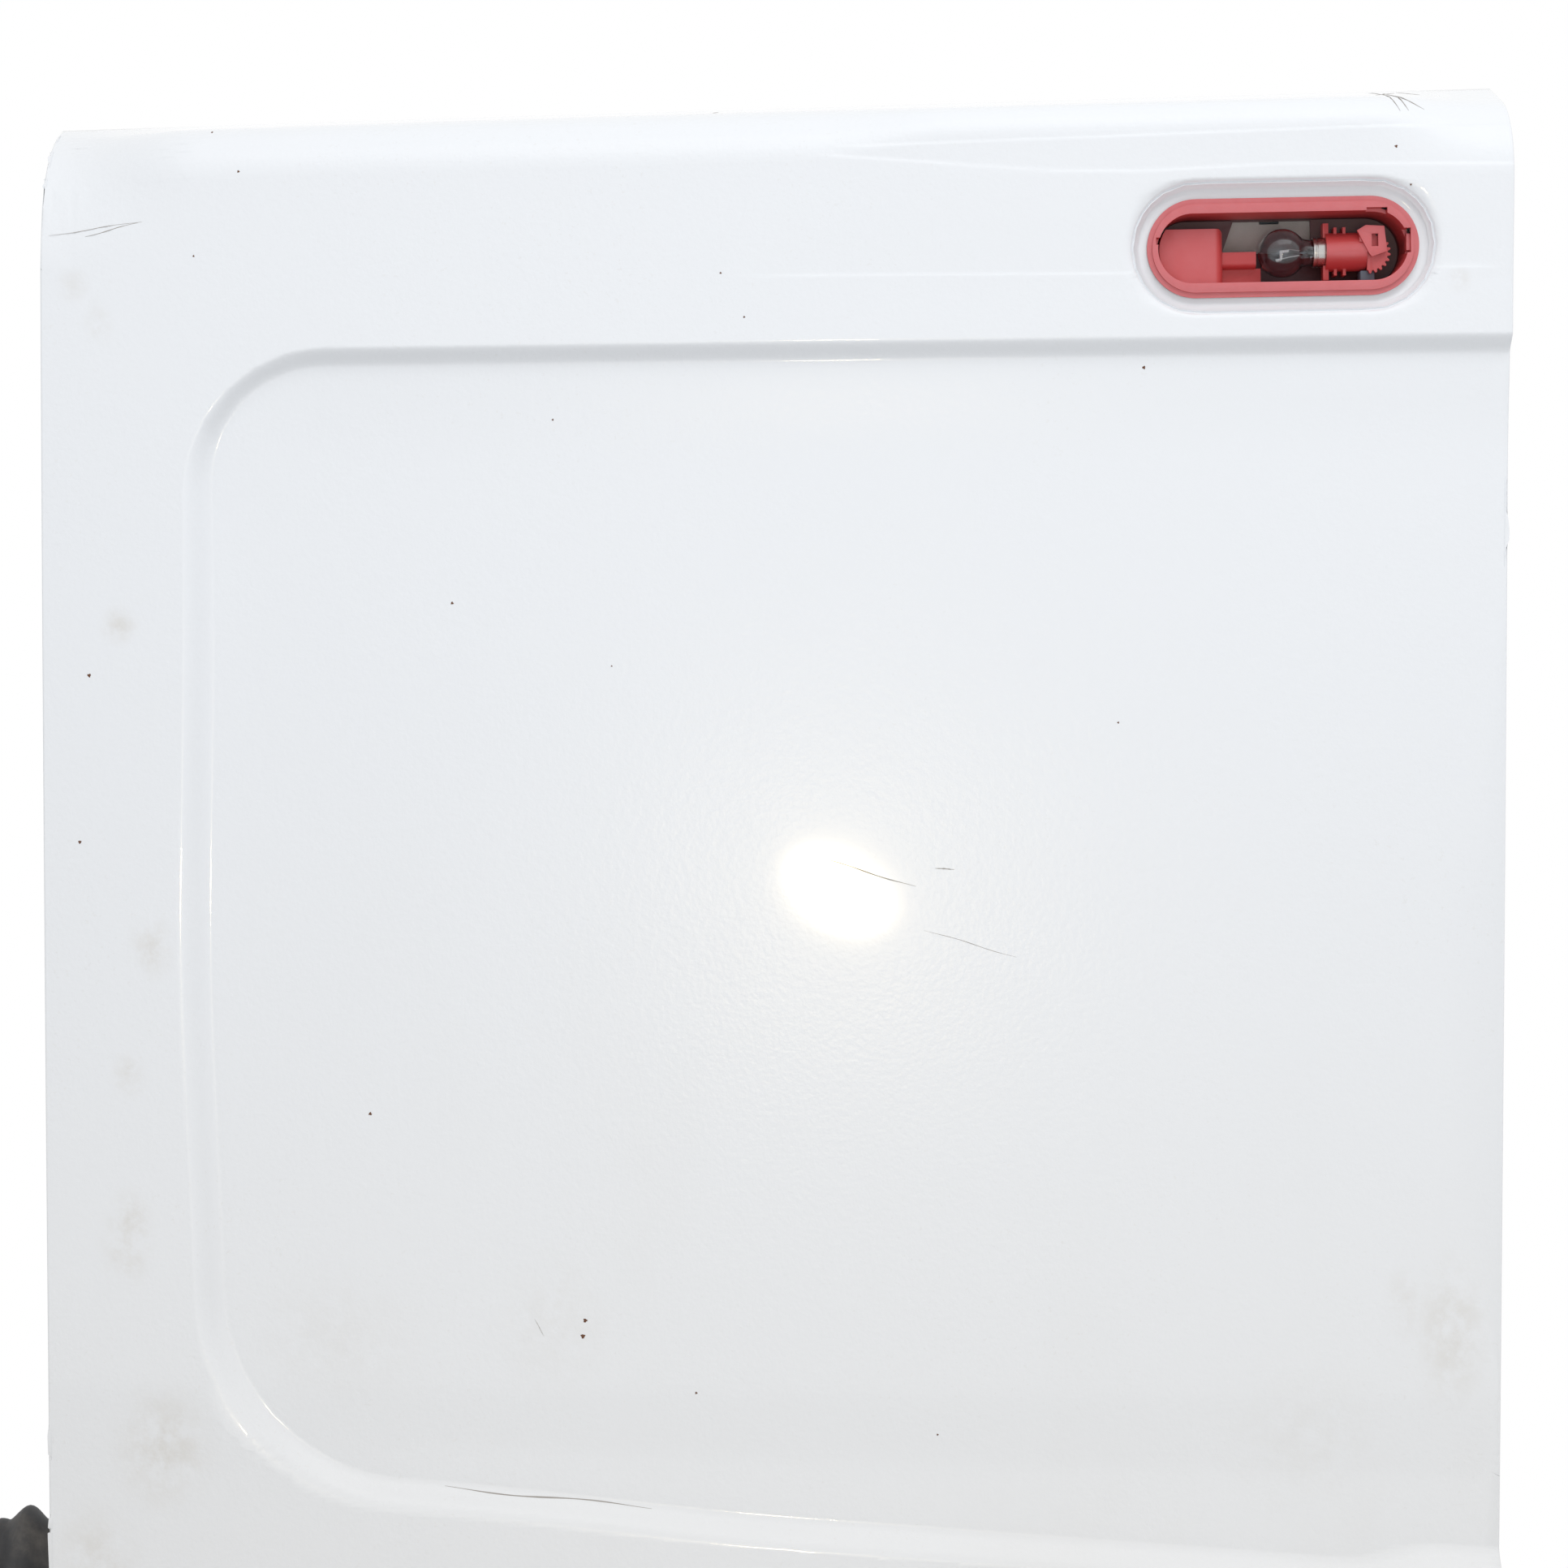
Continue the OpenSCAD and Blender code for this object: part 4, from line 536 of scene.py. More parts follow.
@dataclass(frozen=True)
class FadedRed:
    """Red moulded plastic, chalked pink where the sun reached it through the open front."""

    deep: tuple[float, float, float] = (0.46, 0.047, 0.050)
    chalk: tuple[float, float, float] = (0.55, 0.155, 0.170)
    # Painted shade colour for the deep part of the well.
    shade: tuple[float, float, float] = (0.035, 0.024, 0.030)
    mouth_y: float = 0.0
    reach: float = 0.017
    roughness: float = 0.42

    def build(self, name: str) -> bpy.types.Material:
        """Returns the plastic, faded by how far a face looks out of the lamp and lies near its mouth, with painted
        shade deep in the well.
        """
        f = Finish(name, self.deep, self.roughness)
        f.set("Subsurface Weight", 0.12)
        f.set("Subsurface Radius", (0.006, 0.0015, 0.001))
        f.set("Subsurface Scale", 1.0)
        normal = f.add("ShaderNodeSeparateXYZ")
        f.join(f.coords.outputs["Normal"], normal.inputs["Vector"])
        outward = f.band(f.math("MULTIPLY", normal.outputs["Y"], -1.0), 0.88, 0.998)
        near = f.band(f.axis("Y"), self.mouth_y, self.mouth_y + self.reach, 1.0, 0.12)
        dusty = f.band(f.noise(90.0, 4.0, 0.6), 0.25, 0.75, 0.86, 1.08)
        share = f.math("MULTIPLY", f.math("MULTIPLY", outward, near), dusty)
        # Painted shade: deeper than about 21 mm behind the flange, the red goes over to the near-black shade colour.
        grime_and_shade = f.band(f.axis("Y"), self.mouth_y + 0.021, self.mouth_y + 0.029, 0.0, 0.9)
        f.color(f.blend(grime_and_shade, f.blend(share, self.deep, self.chalk), self.shade))
        f.rough(f.math("ADD", f.math("MULTIPLY", share, 0.16), self.roughness))
        f.bump(f.noise(900.0, 2.0, 0.5), 0.00004, 0.5)
        return f.material


@dataclass(frozen=True)
class Moulded:
    """Moulded plastic or rubber with a fine grain and patchy dust."""

    base: tuple[float, float, float]
    roughness: float
    grain: float = 700.0
    depth: float = 0.00008
    dust: tuple[float, float, float] = (0.22, 0.20, 0.175)
    dusty: float = 0.18

    def build(self, name: str) -> bpy.types.Material:
        """Returns the finish."""
        f = Finish(name, self.base, self.roughness)
        film = f.math("MULTIPLY", f.band(f.noise(38.0, 5.0, 0.65), 0.42, 0.75), self.dusty)
        f.color(f.blend(film, self.base, self.dust))
        f.rough(f.math("ADD", f.math("MULTIPLY", film, 0.5), self.roughness))
        f.bump(f.noise(self.grain, 2.0, 0.5), self.depth, 0.6)
        return f.material


@dataclass(frozen=True)
class Plated:
    """Plated or bare metal, clouded and slightly tarnished."""

    base: tuple[float, float, float]
    roughness: float
    tarnish: tuple[float, float, float] = (0.20, 0.17, 0.13)
    tarnished: float = 0.35

    def build(self, name: str) -> bpy.types.Material:
        """Returns the finish."""
        f = Finish(name, self.base, self.roughness, 1.0)
        spots = f.math("MULTIPLY", f.band(f.noise(120.0, 5.0, 0.7), 0.48, 0.78), self.tarnished)
        f.color(f.blend(spots, self.base, self.tarnish))
        f.rough(f.band(f.noise(60.0, 3.0, 0.6), 0.2, 0.8, self.roughness - 0.06, self.roughness + 0.16))
        f.bump(f.noise(1500.0, 2.0, 0.5), 0.00002, 0.4)
        return f.material


@dataclass(frozen=True)
class ClearGlass:
    """Thin blown glass or a clear moulded lens; the default grey tint is painted shade, which darkens the clear bulb
    glass.
    """

    # Painted shade: the grey tint darkens the bulb's clear glass.
    tint: tuple[float, float, float] = (0.75, 0.78, 0.81)
    roughness: float = 0.0
    ior: float = 1.45

    def build(self, name: str) -> bpy.types.Material:
        """Returns the glass."""
        f = Finish(name, self.tint, self.roughness)
        f.set("Transmission Weight", 1.0)
        f.set("IOR", self.ior)
        return f.material


class Finishes:
    """All materials of the door, made once."""

    def __init__(self, mouth_y: float) -> None:
        """Builds the materials.

        Args:
            mouth_y: Where the lamp's flange faces, in metres of the row's frame.
        """
        self.paint = VanPaint().build("van_paint")
        self.inner_paint = VanPaint(stains=()).build("inner_paint", 0.7)
        self.hinge_paint = VanPaint(stains=(), roughness=0.42).build("hinge_paint", 1.3)
        self.red = FadedRed(mouth_y=mouth_y).build("faded_red")
        self.rubber = Moulded((0.030, 0.030, 0.032), 0.62, dusty=0.35).build("dusty_rubber")
        self.mat = Moulded((0.045, 0.045, 0.048), 0.8, grain=260.0, depth=0.0005).build("bitumen_mat")
        self.plastic = Moulded((0.028, 0.029, 0.031), 0.48, grain=900.0, depth=0.0001).build("grained_plastic")
        self.grey = Moulded((0.42, 0.40, 0.385), 0.75, grain=1300.0, depth=0.0002, dusty=0.3).build("grey_plate")
        self.plug = Moulded((0.085, 0.115, 0.155), 0.5, dusty=0.25).build("plug_plastic")
        self.zinc = Plated((0.62, 0.60, 0.54), 0.34).build("zinc_plate")
        self.steel = Plated((0.42, 0.42, 0.43), 0.38).build("latch_steel")
        self.nickel = Plated((0.55, 0.54, 0.53), 0.26, tarnished=0.2).build("bulb_nickel")
        # The bulb glass carries the painted shade of its grey tint.
        self.glass = ClearGlass().build("bulb_glass")
        # Painted highlight: a near-white matt wire stands in for the glints on the grey tungsten filament.
        self.coil = Moulded((0.95, 0.94, 0.92), 0.25, dusty=0.0).build("coil_painted_glint")
        self.lens = ClearGlass(tint=(0.92, 0.93, 0.92), roughness=0.12, ior=1.49).build("lamp_lens")
        self.scratch = Moulded((0.36, 0.34, 0.32), 0.7, dusty=0.3).build("scratched_paint")
        self.rust = Moulded((0.13, 0.06, 0.035), 0.85, dusty=0.2).build("rust_speck")


def deselect() -> None:
    """Deselects every object."""
    bpy.ops.object.select_all(action="DESELECT")


def choose(obj: bpy.types.Object) -> bpy.types.Object:
    """Selects one object alone and makes it the active one."""
    deselect()
    obj.select_set(True)
    bpy.context.view_layer.objects.active = obj
    return obj


def settle(obj: bpy.types.Object) -> bpy.types.Object:
    """Applies an object's place, turn and scale to its mesh."""
    choose(obj)
    bpy.ops.object.transform_apply(location=True, rotation=True, scale=True)
    return obj


def modify(obj: bpy.types.Object, kind: str, **settings: object) -> None:
    """Adds a modifier and applies it."""
    choose(obj)
    modifier = obj.modifiers.new(kind.title(), kind)
    for key, value in settings.items():
        setattr(modifier, key, value)
    bpy.ops.object.modifier_apply(modifier=modifier.name)


def smooth(obj: bpy.types.Object, degrees: float = 35.0) -> None:
    """Shades an object smooth, with edges sharper than an angle kept."""
    choose(obj)
    bpy.ops.object.shade_smooth_by_angle(angle=math.radians(degrees))


def mesh_object(name: str, points: np.ndarray, faces: list[tuple[int, ...]]) -> bpy.types.Object:
    """Returns a new object from points in the row's frame, in metres, and faces."""
    mesh = bpy.data.meshes.new(name)
    mesh.from_pydata([tuple(p) for p in np.asarray(points, float)], [], faces)
    mesh.validate()
    obj = bpy.data.objects.new(name, mesh)
    bpy.context.scene.collection.objects.link(obj)
    return obj


def finish_piece(obj: bpy.types.Object, material: bpy.types.Material, body: Body = Body.DOOR,
                 replaces: tuple[str, ...] = ()) -> bpy.types.Object:
    """Gives a piece its material, and lets it ride on its body.

    Args:
        obj: The piece, in place in the row's frame.
        material: Its finish.
        body: The body that it moves with.
        replaces: CAD nodes that it stands for.

    Returns:
        The piece.
    """
    obj.data.materials.clear()
    obj.data.materials.append(material)
    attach(obj, body.value)
    if replaces:
        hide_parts(*replaces)
    LOG.info("%s: %d faces", obj.name, len(obj.data.polygons))
    return obj


def node_copy(node: bpy.types.Object, name: str) -> bpy.types.Object:
    """Returns a copy of a CAD node with its loose triangles merged."""
    obj = bpy.data.objects.new(name, node.data.copy())
    bpy.context.scene.collection.objects.link(obj)
    choose(obj)
    bpy.ops.object.mode_set(mode="EDIT")
    bpy.ops.mesh.select_all(action="SELECT")
    bpy.ops.mesh.customdata_custom_splitnormals_clear()
    bpy.ops.mesh.remove_doubles(threshold=0.00001)
    bpy.ops.object.mode_set(mode="OBJECT")
    return obj


def softened(node: bpy.types.Object, name: str, width: float, segments: int = 3,
             angle: float = 32.0) -> bpy.types.Object:
    """Returns a copy of a CAD node with its flat faces joined and its edges rounded.

    Args:
        node: The CAD node.
        name: Name of the copy.
        width: Width of the rounding in millimetres.
        segments: Faces across a rounding.
        angle: Least angle of an edge that is rounded, in degrees.

    Returns:
        The copy, shaded smooth.
    """
    obj = node_copy(node, name)
    bpy.ops.object.mode_set(mode="EDIT")
    bpy.ops.mesh.select_all(action="SELECT")
    bpy.ops.mesh.dissolve_limited(angle_limit=math.radians(1.0))
    bpy.ops.object.mode_set(mode="OBJECT")
    modify(obj, "BEVEL", width=width * MM, segments=segments, limit_method="ANGLE",
           angle_limit=math.radians(angle), use_clamp_overlap=True, miter_outer="MITER_ARC")
    smooth(obj)
    return obj


def spun(name: str, profile: list[tuple[float, float]], centre: np.ndarray, axis: tuple[float, float, float],
         steps: int = 64) -> bpy.types.Object:
    """Returns a turned shape.

    Args:
        name: Name of the object.
        profile: Pairs of distance along the axis and radius, in millimetres.
        centre: Start of the axis in the row's frame.
        axis: Direction of the axis.
        steps: Stations round the axis.

    Returns:
        The object, closed where the profile meets the axis.
    """
    along = Vector(axis).normalized()
    across = along.orthogonal().normalized()
    start = Vector(centre)
    points = [start + along * (a * MM) + across * (r * MM) for a, r in profile]
    obj = mesh_object(name, np.array([tuple(p) for p in points]), [])
    obj.data.edges.add(len(points) - 1)
    for k, edge in enumerate(obj.data.edges):
        edge.vertices = (k, k + 1)
    choose(obj)
    bpy.ops.object.mode_set(mode="EDIT")
    bpy.ops.mesh.select_all(action="SELECT")
    bpy.ops.mesh.spin(steps=steps, angle=math.tau, center=start, axis=along, use_auto_merge=True)
    bpy.ops.mesh.select_all(action="SELECT")
    bpy.ops.mesh.remove_doubles(threshold=0.00001)
    bpy.ops.mesh.normals_make_consistent(inside=False)
    bpy.ops.object.mode_set(mode="OBJECT")
    smooth(obj)
    return obj


@dataclass
class OuterSkin:
    """Pressed outer skin, refined from the CAD sheet, with its edge folded round the frame's flange."""

    cuts: int = 3
    rows: tuple[tuple[float, float, float], ...] = (
        (598.0, 690.0, 2.4), (1282.0, 1291.0, 0.9), (1333.0, 1366.0, 0.9),
    )
    rows_margin: float = 60.0
    thickness: float = 0.9
    front_tolerance: float = 0.5
    edge_in: float = 0.8
    fold: tuple[tuple[float, float], ...] = (
        (0.2, 0.3), (0.0, 1.0), (0.0, 3.1), (0.3, 3.9), (1.0, 4.2), (9.5, 4.2),
    )

    def build(self, node: bpy.types.Object, material: bpy.types.Material) -> bpy.types.Object:
        """Builds the skin from the CAD sheet's front face.

        Args:
            node: The CAD node of the skin.
            material: The paint.

        Returns:
            The refined skin.
        """
        skin = node_copy(node, "door_skin")
        self.keep_front(skin)
        choose(skin)
        bpy.ops.object.mode_set(mode="EDIT")
        bpy.ops.mesh.select_all(action="SELECT")
        bpy.ops.mesh.tris_convert_to_quads(face_threshold=math.radians(60), shape_threshold=math.radians(60))
        bpy.ops.mesh.subdivide(number_cuts=self.cuts)
        bpy.ops.object.mode_set(mode="OBJECT")
        self.add_rows(skin)
        self.press(skin)
        self.fold_edge(skin)
        modify(skin, "SOLIDIFY", thickness=self.thickness * MM, offset=-1.0, use_rim=True)
        smooth(skin, 50.0)
        return finish_piece(skin, material, replaces=("outer_skin",))

    def keep_front(self, skin: bpy.types.Object) -> None:
        """Deletes every vertex that doesn't lie on the outer face."""
        work = bmesh.new()
        work.from_mesh(skin.data)
        p = FORM.to_door(np.array([v.co[:] for v in work.verts]))
        behind = p[:, 1] - SHEET.depth(p[:, 0], p[:, 2])
        back = [v for v, b in zip(work.verts, behind) if b > self.front_tolerance]
        bmesh.ops.delete(work, geom=back, context="VERTS")
        work.to_mesh(skin.data)
        work.free()

    def add_rows(self, skin: bpy.types.Object) -> None:
        """Cuts level rows of vertices where the fine sheet bends more tightly than the CAD mesh."""
        work = bmesh.new()
        work.from_mesh(skin.data)
        for low, high, pitch in self.rows:
            ends = [FORM.to_row(np.array([0.0, 0.0, z]))[2] for z in (low - self.rows_margin, high + self.rows_margin)]
            near = [f for f in work.faces if ends[0] < f.calc_center_median().z < ends[1]]
            geom = near + list({e for f in near for e in f.edges}) + list({v for f in near for v in f.verts})
            for z in np.arange(low, high, pitch):
                at = FORM.to_row(np.array([0.0, 0.0, z]))
                cut = bmesh.ops.bisect_plane(work, geom=geom, dist=1e-6, plane_co=at, plane_no=(0, 0, 1))
                geom = cut["geom"]
        work.to_mesh(skin.data)
        work.free()

    def press(self, skin: bpy.types.Object) -> None:
        """Moves every vertex along y to the true surface."""
        p = FORM.to_door(np.array([v.co[:] for v in skin.data.vertices]))
        p[:, 1] = FORM.depth(p[:, 0], p[:, 2])
        skin.data.vertices.foreach_set("co", FORM.to_row(p).ravel())
        skin.data.update()

    def fold_edge(self, skin: bpy.types.Object) -> None:
        """Rounds the outer edge and folds it back behind the skin, all round."""
        work = bmesh.new()
        work.from_mesh(skin.data)
        loop = self.outline(work)
        flat = FORM.to_door(np.array([v.co[:] for v in loop]))[:, [0, 2]]
        ahead = np.roll(flat, -1, axis=0) - flat
        ahead /= np.linalg.norm(ahead, axis=1, keepdims=True)
        behind = np.roll(ahead, 1, axis=0)
        turned = np.stack([-ahead[:, 1], ahead[:, 0]], axis=1)
        inward = turned + np.stack([-behind[:, 1], behind[:, 0]], axis=1)
        inward /= np.linalg.norm(inward, axis=1, keepdims=True)
        inward /= np.maximum(0.5, (inward * turned).sum(axis=1))[:, None]
        middle = np.array([FORM.width, FORM.height]) / 2
        if ((middle - flat) * inward).sum() < 0:
            inward = -inward
        e = 0.5
        rise = (FORM.depth(*(flat + e * inward).T) - FORM.depth(*flat.T)) / e
        lean = (1 / np.sqrt(1 + rise**2))[:, None]

        def ring(d: float, off: float) -> np.ndarray:
            """Returns the outline's points at a distance inwards and behind the skin."""
            at = flat + d * lean * inward
            return FORM.to_row(FORM.point(at[:, 0], at[:, 1], off))

        for v, co in zip(loop, ring(self.edge_in, 0.0)):
            v.co = co
        last = loop
        for d, off in self.fold:
            new = [work.verts.new(co) for co in ring(d, off)]
            for k, vert in enumerate(new):
                after = (k + 1) % len(new)
                work.faces.new((last[k], last[after], new[after], vert))
            last = new
        bmesh.ops.recalc_face_normals(work, faces=work.faces)
        lead = max(work.faces, key=lambda f: f.calc_area())
        if lead.normal.y > 0:
            bmesh.ops.reverse_faces(work, faces=work.faces)
        work.to_mesh(skin.data)
        work.free()

    def outline(self, work: bmesh.types.BMesh) -> list[bmesh.types.BMVert]:
        """Returns the vertices of the leaf's outer edge in order, which is its longest open loop."""
        open_edges = {e for e in work.edges if e.is_boundary}
        loops = []
        while open_edges:
            edge = open_edges.pop()
            start, vert = edge.verts
            loop = [start]
            while vert is not start:
                loop.append(vert)
                edge = next(e for e in vert.link_edges if e in open_edges)
                open_edges.discard(edge)
                vert = edge.other_vert(vert)
            loops.append(loop)
        return max(loops, key=len)


@dataclass
class PaintMarks:
    """Scratches, stone chips and rust specks on the outer skin, each a thin patch on the paint."""

    lift: float = 0.06
    thickness: float = 0.1
    scratches: tuple[tuple[tuple[float, float, float, float], float], ...] = (
        ((396.7, 989.6, 448.3, 974.3), 0.75), ((458.0, 983.6, 468.0, 983.0), 0.7),
        ((452.5, 951.6, 499.9, 938.0), 0.35), ((204.8, 662.7, 312.1, 651.5), 0.8),
        ((683.6, 1384.7, 705.9, 1370.0), 0.7), ((686.0, 1386.0, 693.0, 1368.5), 0.6),
        ((690.5, 1384.0, 697.5, 1369.0), 0.7), ((684.0, 1380.0, 697.0, 1384.5), 0.5),
        ((698.5, 1385.5, 709.0, 1382.5), 0.6), ((23.1, 1306.6, 52.0, 1314.0), 0.4),
        ((343.4, 1373.0, 346.0, 1374.5), 0.9), ((251.5, 750.0, 256.5, 741.0), 0.35),
        ((4.1, 1307.4, 52.8, 1314.0), 0.3),
    )
    specks: tuple[tuple[float, float, float], ...] = (
        (277.8, 749.3, 1.0), (276.6, 741.1, 1.1), (24.4, 1082.5, 0.9), (19.0, 997.0, 0.8), (210.1, 1119.6, 0.7),
        (166.8, 856.2, 0.8), (102.4, 1339.2, 0.6), (79.3, 1296.3, 0.5), (348.4, 1286.8, 0.5), (360.4, 1264.5, 0.5),
        (262.1, 1213.3, 0.5), (85.9, 1361.9, 0.5), (690.2, 1350.0, 0.7), (563.9, 1239.3, 0.8), (697.6, 1330.6, 0.5),
        (335.2, 711.8, 0.6), (292.1, 1087.3, 0.4), (551.7, 1058.4, 0.5), (459.9, 690.5, 0.5),
    )

    def build(self, finishes: Finishes) -> None:
        """Builds every mark."""
        for k, ((x0, z0, x1, z1), width) in enumerate(self.scratches):
            self.scratch(f"scratch_{k + 1}", x0, z0, x1, z1, width, finishes.scratch)
        for k, (x, z, radius) in enumerate(self.specks):
            self.speck(f"speck_{k + 1}", x, z, radius, finishes.rust)

    def scratch(self, name: str, x0: float, z0: float, x1: float, z1: float, width: float,
                material: bpy.types.Material) -> None:
        """Builds a slightly wandering strip from (x0, z0) to (x1, z1) that thins to both ends."""
        n = 24
        t = np.linspace(0, 1, n + 1)
        along = np.array([x1 - x0, z1 - z0])
        across = np.array([-along[1], along[0]]) / np.linalg.norm(along)
        drift = 0.012 * np.linalg.norm(along) * np.sin(t * 5.1 + x0) * np.sin(math.pi * t)
        half = width / 2 * (0.18 + 0.82 * np.sin(math.pi * t) * (0.75 + 0.25 * np.sin(t * 23 + z0)))
        middle = np.array([x0, z0]) + t[:, None] * along + drift[:, None] * across
        flat = np.concatenate([middle - half[:, None] * across, middle + half[:, None] * across])
        faces = [(k, k + 1, n + 2 + k, n + 1 + k) for k in range(n)]
        self.patch(name, flat, faces, material)

    def speck(self, name: str, x: float, z: float, radius: float, material: bpy.types.Material) -> None:
        """Builds a small irregular blot."""
        n = 14
        a = np.arange(n) * math.tau / n
        r = radius * (1 + 0.22 * np.sin(3 * a + x) + 0.15 * np.sin(5 * a + z))
        flat = np.stack([x + r * np.cos(a), z + r * np.sin(a)], axis=1)
        self.patch(name, flat, [tuple(range(n))], material)

    def patch(self, name: str, flat: np.ndarray, faces: list[tuple[int, ...]], material: bpy.types.Material) -> None:
        """Lays a flat outline on the skin and gives it thickness."""
        obj = mesh_object(name, FORM.to_row(FORM.point(flat[:, 0], flat[:, 1], -self.lift)), faces)
        if obj.data.polygons[0].normal.y > 0:
            obj.data.flip_normals()
        modify(obj, "SOLIDIFY", thickness=self.thickness * MM, offset=-1.0)
        finish_piece(obj, material)


@dataclass
class BrakeLamp:
    """High-level brake lamp without its lens: housing, gasket, holder, bulb, plug and the plate behind."""

    stand: float = 3.4
    rim: float = 5.6
    holder_from_end: float = 40.1
    bulb_from_holder: float = 21.4
    holder_w: float = 17.0
    holder_v: float = -1.2
    bulb_r: float = 12.5
    neck_r: float = 6.6
    neck_end: float = 19.6
    glass_t: float = 0.7
    cap_r: float = 7.5
    cap_from_holder: float = 6.2
    cap_l: float = 20.0
    wire_r: float = 0.26
    coil_r: float = 0.55
    coil_pitch: float = 0.62
    coil_span: float = 5.0
    post_l: float = 9.0

    @property
    def mouth(self) -> float:
        """Where the flange faces, as y of the door."""
        return float(FORM.depth(FORM.lamp_x, FORM.lamp_z)) - self.stand

    @property
    def axis(self) -> tuple[float, float, float]:
        """Direction of the bulb from its glass to its holder."""
        return (math.cos(FORM.lamp_tilt), 0.0, math.sin(FORM.lamp_tilt))

    def at(self, u: float, v: float, w: float) -> np.ndarray:
        """Returns a point of the lamp's own directions in the row's frame."""
        c, s = math.cos(FORM.lamp_tilt), math.sin(FORM.lamp_tilt)
        return FORM.to_row(np.array([FORM.lamp_x + u * c - v * s, self.mouth + w, FORM.lamp_z + u * s + v * c]))

    @property
    def holder_u(self) -> float:
        """Front of the bulb holder along the lamp."""
        return FORM.lamp_w / 2 - self.rim - self.holder_from_end

    def build(self, nodes: dict[str, bpy.types.Object], finishes: Finishes) -> None:
        """Builds the lamp's pieces.

        Args:
            nodes: The CAD nodes by name.
            finishes: The materials.
        """
        housing = softened(nodes["lamp_housing"], "lamp_well", 0.55, 3)
        finish_piece(housing, finishes.red, replaces=("lamp_housing",))
        holder = softened(nodes["bulb_holder"], "lamp_bulb_holder", 0.3, 2)
        finish_piece(holder, finishes.red, replaces=("bulb_holder",))
        gasket = softened(nodes["lamp_gasket"], "lamp_seal", 0.15, 2)
        finish_piece(gasket, finishes.rubber, replaces=("lamp_gasket",))
        plug = softened(nodes["lamp_connector"], "lamp_plug", 0.6, 3)
        finish_piece(plug, finishes.plug, replaces=("lamp_connector",))
        plate = softened(nodes["lamp_bracket"], "lamp_back_plate", 0.3, 2)
        finish_piece(plate, finishes.grey, replaces=("lamp_bracket",))
        self.glass(finishes)
        self.cap(finishes)
        self.filament(finishes)

    def glass(self, finishes: Finishes) -> None:
        """Builds the blown glass: a globe that narrows into its neck, with an inner wall."""
        def wall(r: float, neck: float) -> list[tuple[float, float]]:
            """Returns one wall's profile from the pole of the globe to the end of the neck."""
            turn = [math.radians(180 - 142 * k / 40) for k in range(41)]
            globe = [(r * math.cos(a), r * math.sin(a)) for a in turn]
            a0, r0 = globe[-1]
            ends = [mix(a0, a0 + 5.2, ease(k / 8) * 0.3 + k / 8 * 0.7) for k in range(1, 9)]
            curve = [neck + (r0 - neck) * (1 - k / 8) ** 2.1 for k in range(1, 9)]
            return globe + list(zip(ends, curve)) + [(self.neck_end, neck)]
        outer = wall(self.bulb_r, self.neck_r)
        inner = wall(self.bulb_r - self.glass_t, self.neck_r - self.glass_t)
        centre = self.at(self.holder_u - self.bulb_from_holder, self.holder_v, self.holder_w)
        bulb = spun("bulb_globe", outer + inner[::-1], centre, self.axis, 72)
        finish_piece(bulb, finishes.glass, replaces=("bulb_glass",))

    def cap(self, finishes: Finishes) -> None:
        """Builds the bayonet cap with its rolled rim and a beaded groove."""
        r = self.cap_r
        outer = [(0.0, r - 0.6), (0.1, r - 0.2), (0.4, r), (1.3, r), (1.6, r - 0.25), (2.1, r - 0.25), (2.4, r),
                 (self.cap_l - 0.5, r), (self.cap_l, r - 0.3)]
        inner = [(self.cap_l, r - 0.6), (0.3, r - 0.65)]
        centre = self.at(self.holder_u - self.cap_from_holder, self.holder_v, self.holder_w)
        cap = spun("bulb_bayonet_cap", outer + inner + [outer[0]], centre, self.axis, 64)
        finish_piece(cap, finishes.nickel, replaces=("bulb_cap",))

    def filament(self, finishes: Finishes) -> None:
        """Builds the wires that rise from the glass post, and the sagged, kinked coil between them."""
        u0 = self.holder_u - self.bulb_from_holder
        v0, w0 = self.holder_v, self.holder_w
        half = self.coil_span / 2
        rises = [[(u0 + self.post_l + 4, v0 + side * 1.0, w0), (u0 + self.post_l, v0 + side * 1.2, w0),
                  (u0 + 3.5, v0 + side * half * 0.8, w0), tuple(np.array(end))]
                 for side, end in ((-1, (u0 - 3.0, v0 - 3.6, w0)), (1, (u0 + 3.4, v0 + 1.3, w0)))]
        knees = [(u0 - 3.0, v0 - 3.6), (u0 - 0.4, v0 - 3.1), (u0 - 0.6, v0 + 0.9), (u0 + 3.4, v0 + 1.3)]
        coil = []
        for (ua, va), (ub, vb) in zip(knees, knees[1:]):
            turns = max(2, round(math.hypot(ub - ua, vb - va) / self.coil_pitch))
            across = np.array([va - vb, ub - ua]) / math.hypot(ub - ua, vb - va)
            for k in range(turns * 12):
                t = k / (turns * 12)
                swing = self.coil_r * math.cos(math.tau * k / 12)
                coil.append((mix(ua, ub, t) + across[0] * swing, mix(va, vb, t) + across[1] * swing,
                             w0 + self.coil_r * math.sin(math.tau * k / 12)))
        wires = wire_mesh("bulb_wires", [[self.at(u, v, w) for u, v, w in path] for path in rises], self.wire_r)
        finish_piece(wires, finishes.nickel, replaces=("bulb_filament",))
        # The coil's near-white finish is a painted highlight for the filament's glints.
        glint_coil = wire_mesh("bulb_coil", [[self.at(u, v, w) for u, v, w in coil]], self.wire_r)
        finish_piece(glint_coil, finishes.coil)
        post = spun("bulb_stem", [(0.0, 0.0), (0.3, 1.1), (2.0, 1.5), (6.5, 2.1), (9.5, 3.2), (9.8, 0.0)],
                    self.at(u0 + self.post_l - 0.5, v0, w0), self.axis, 32)
        finish_piece(post, finishes.glass)


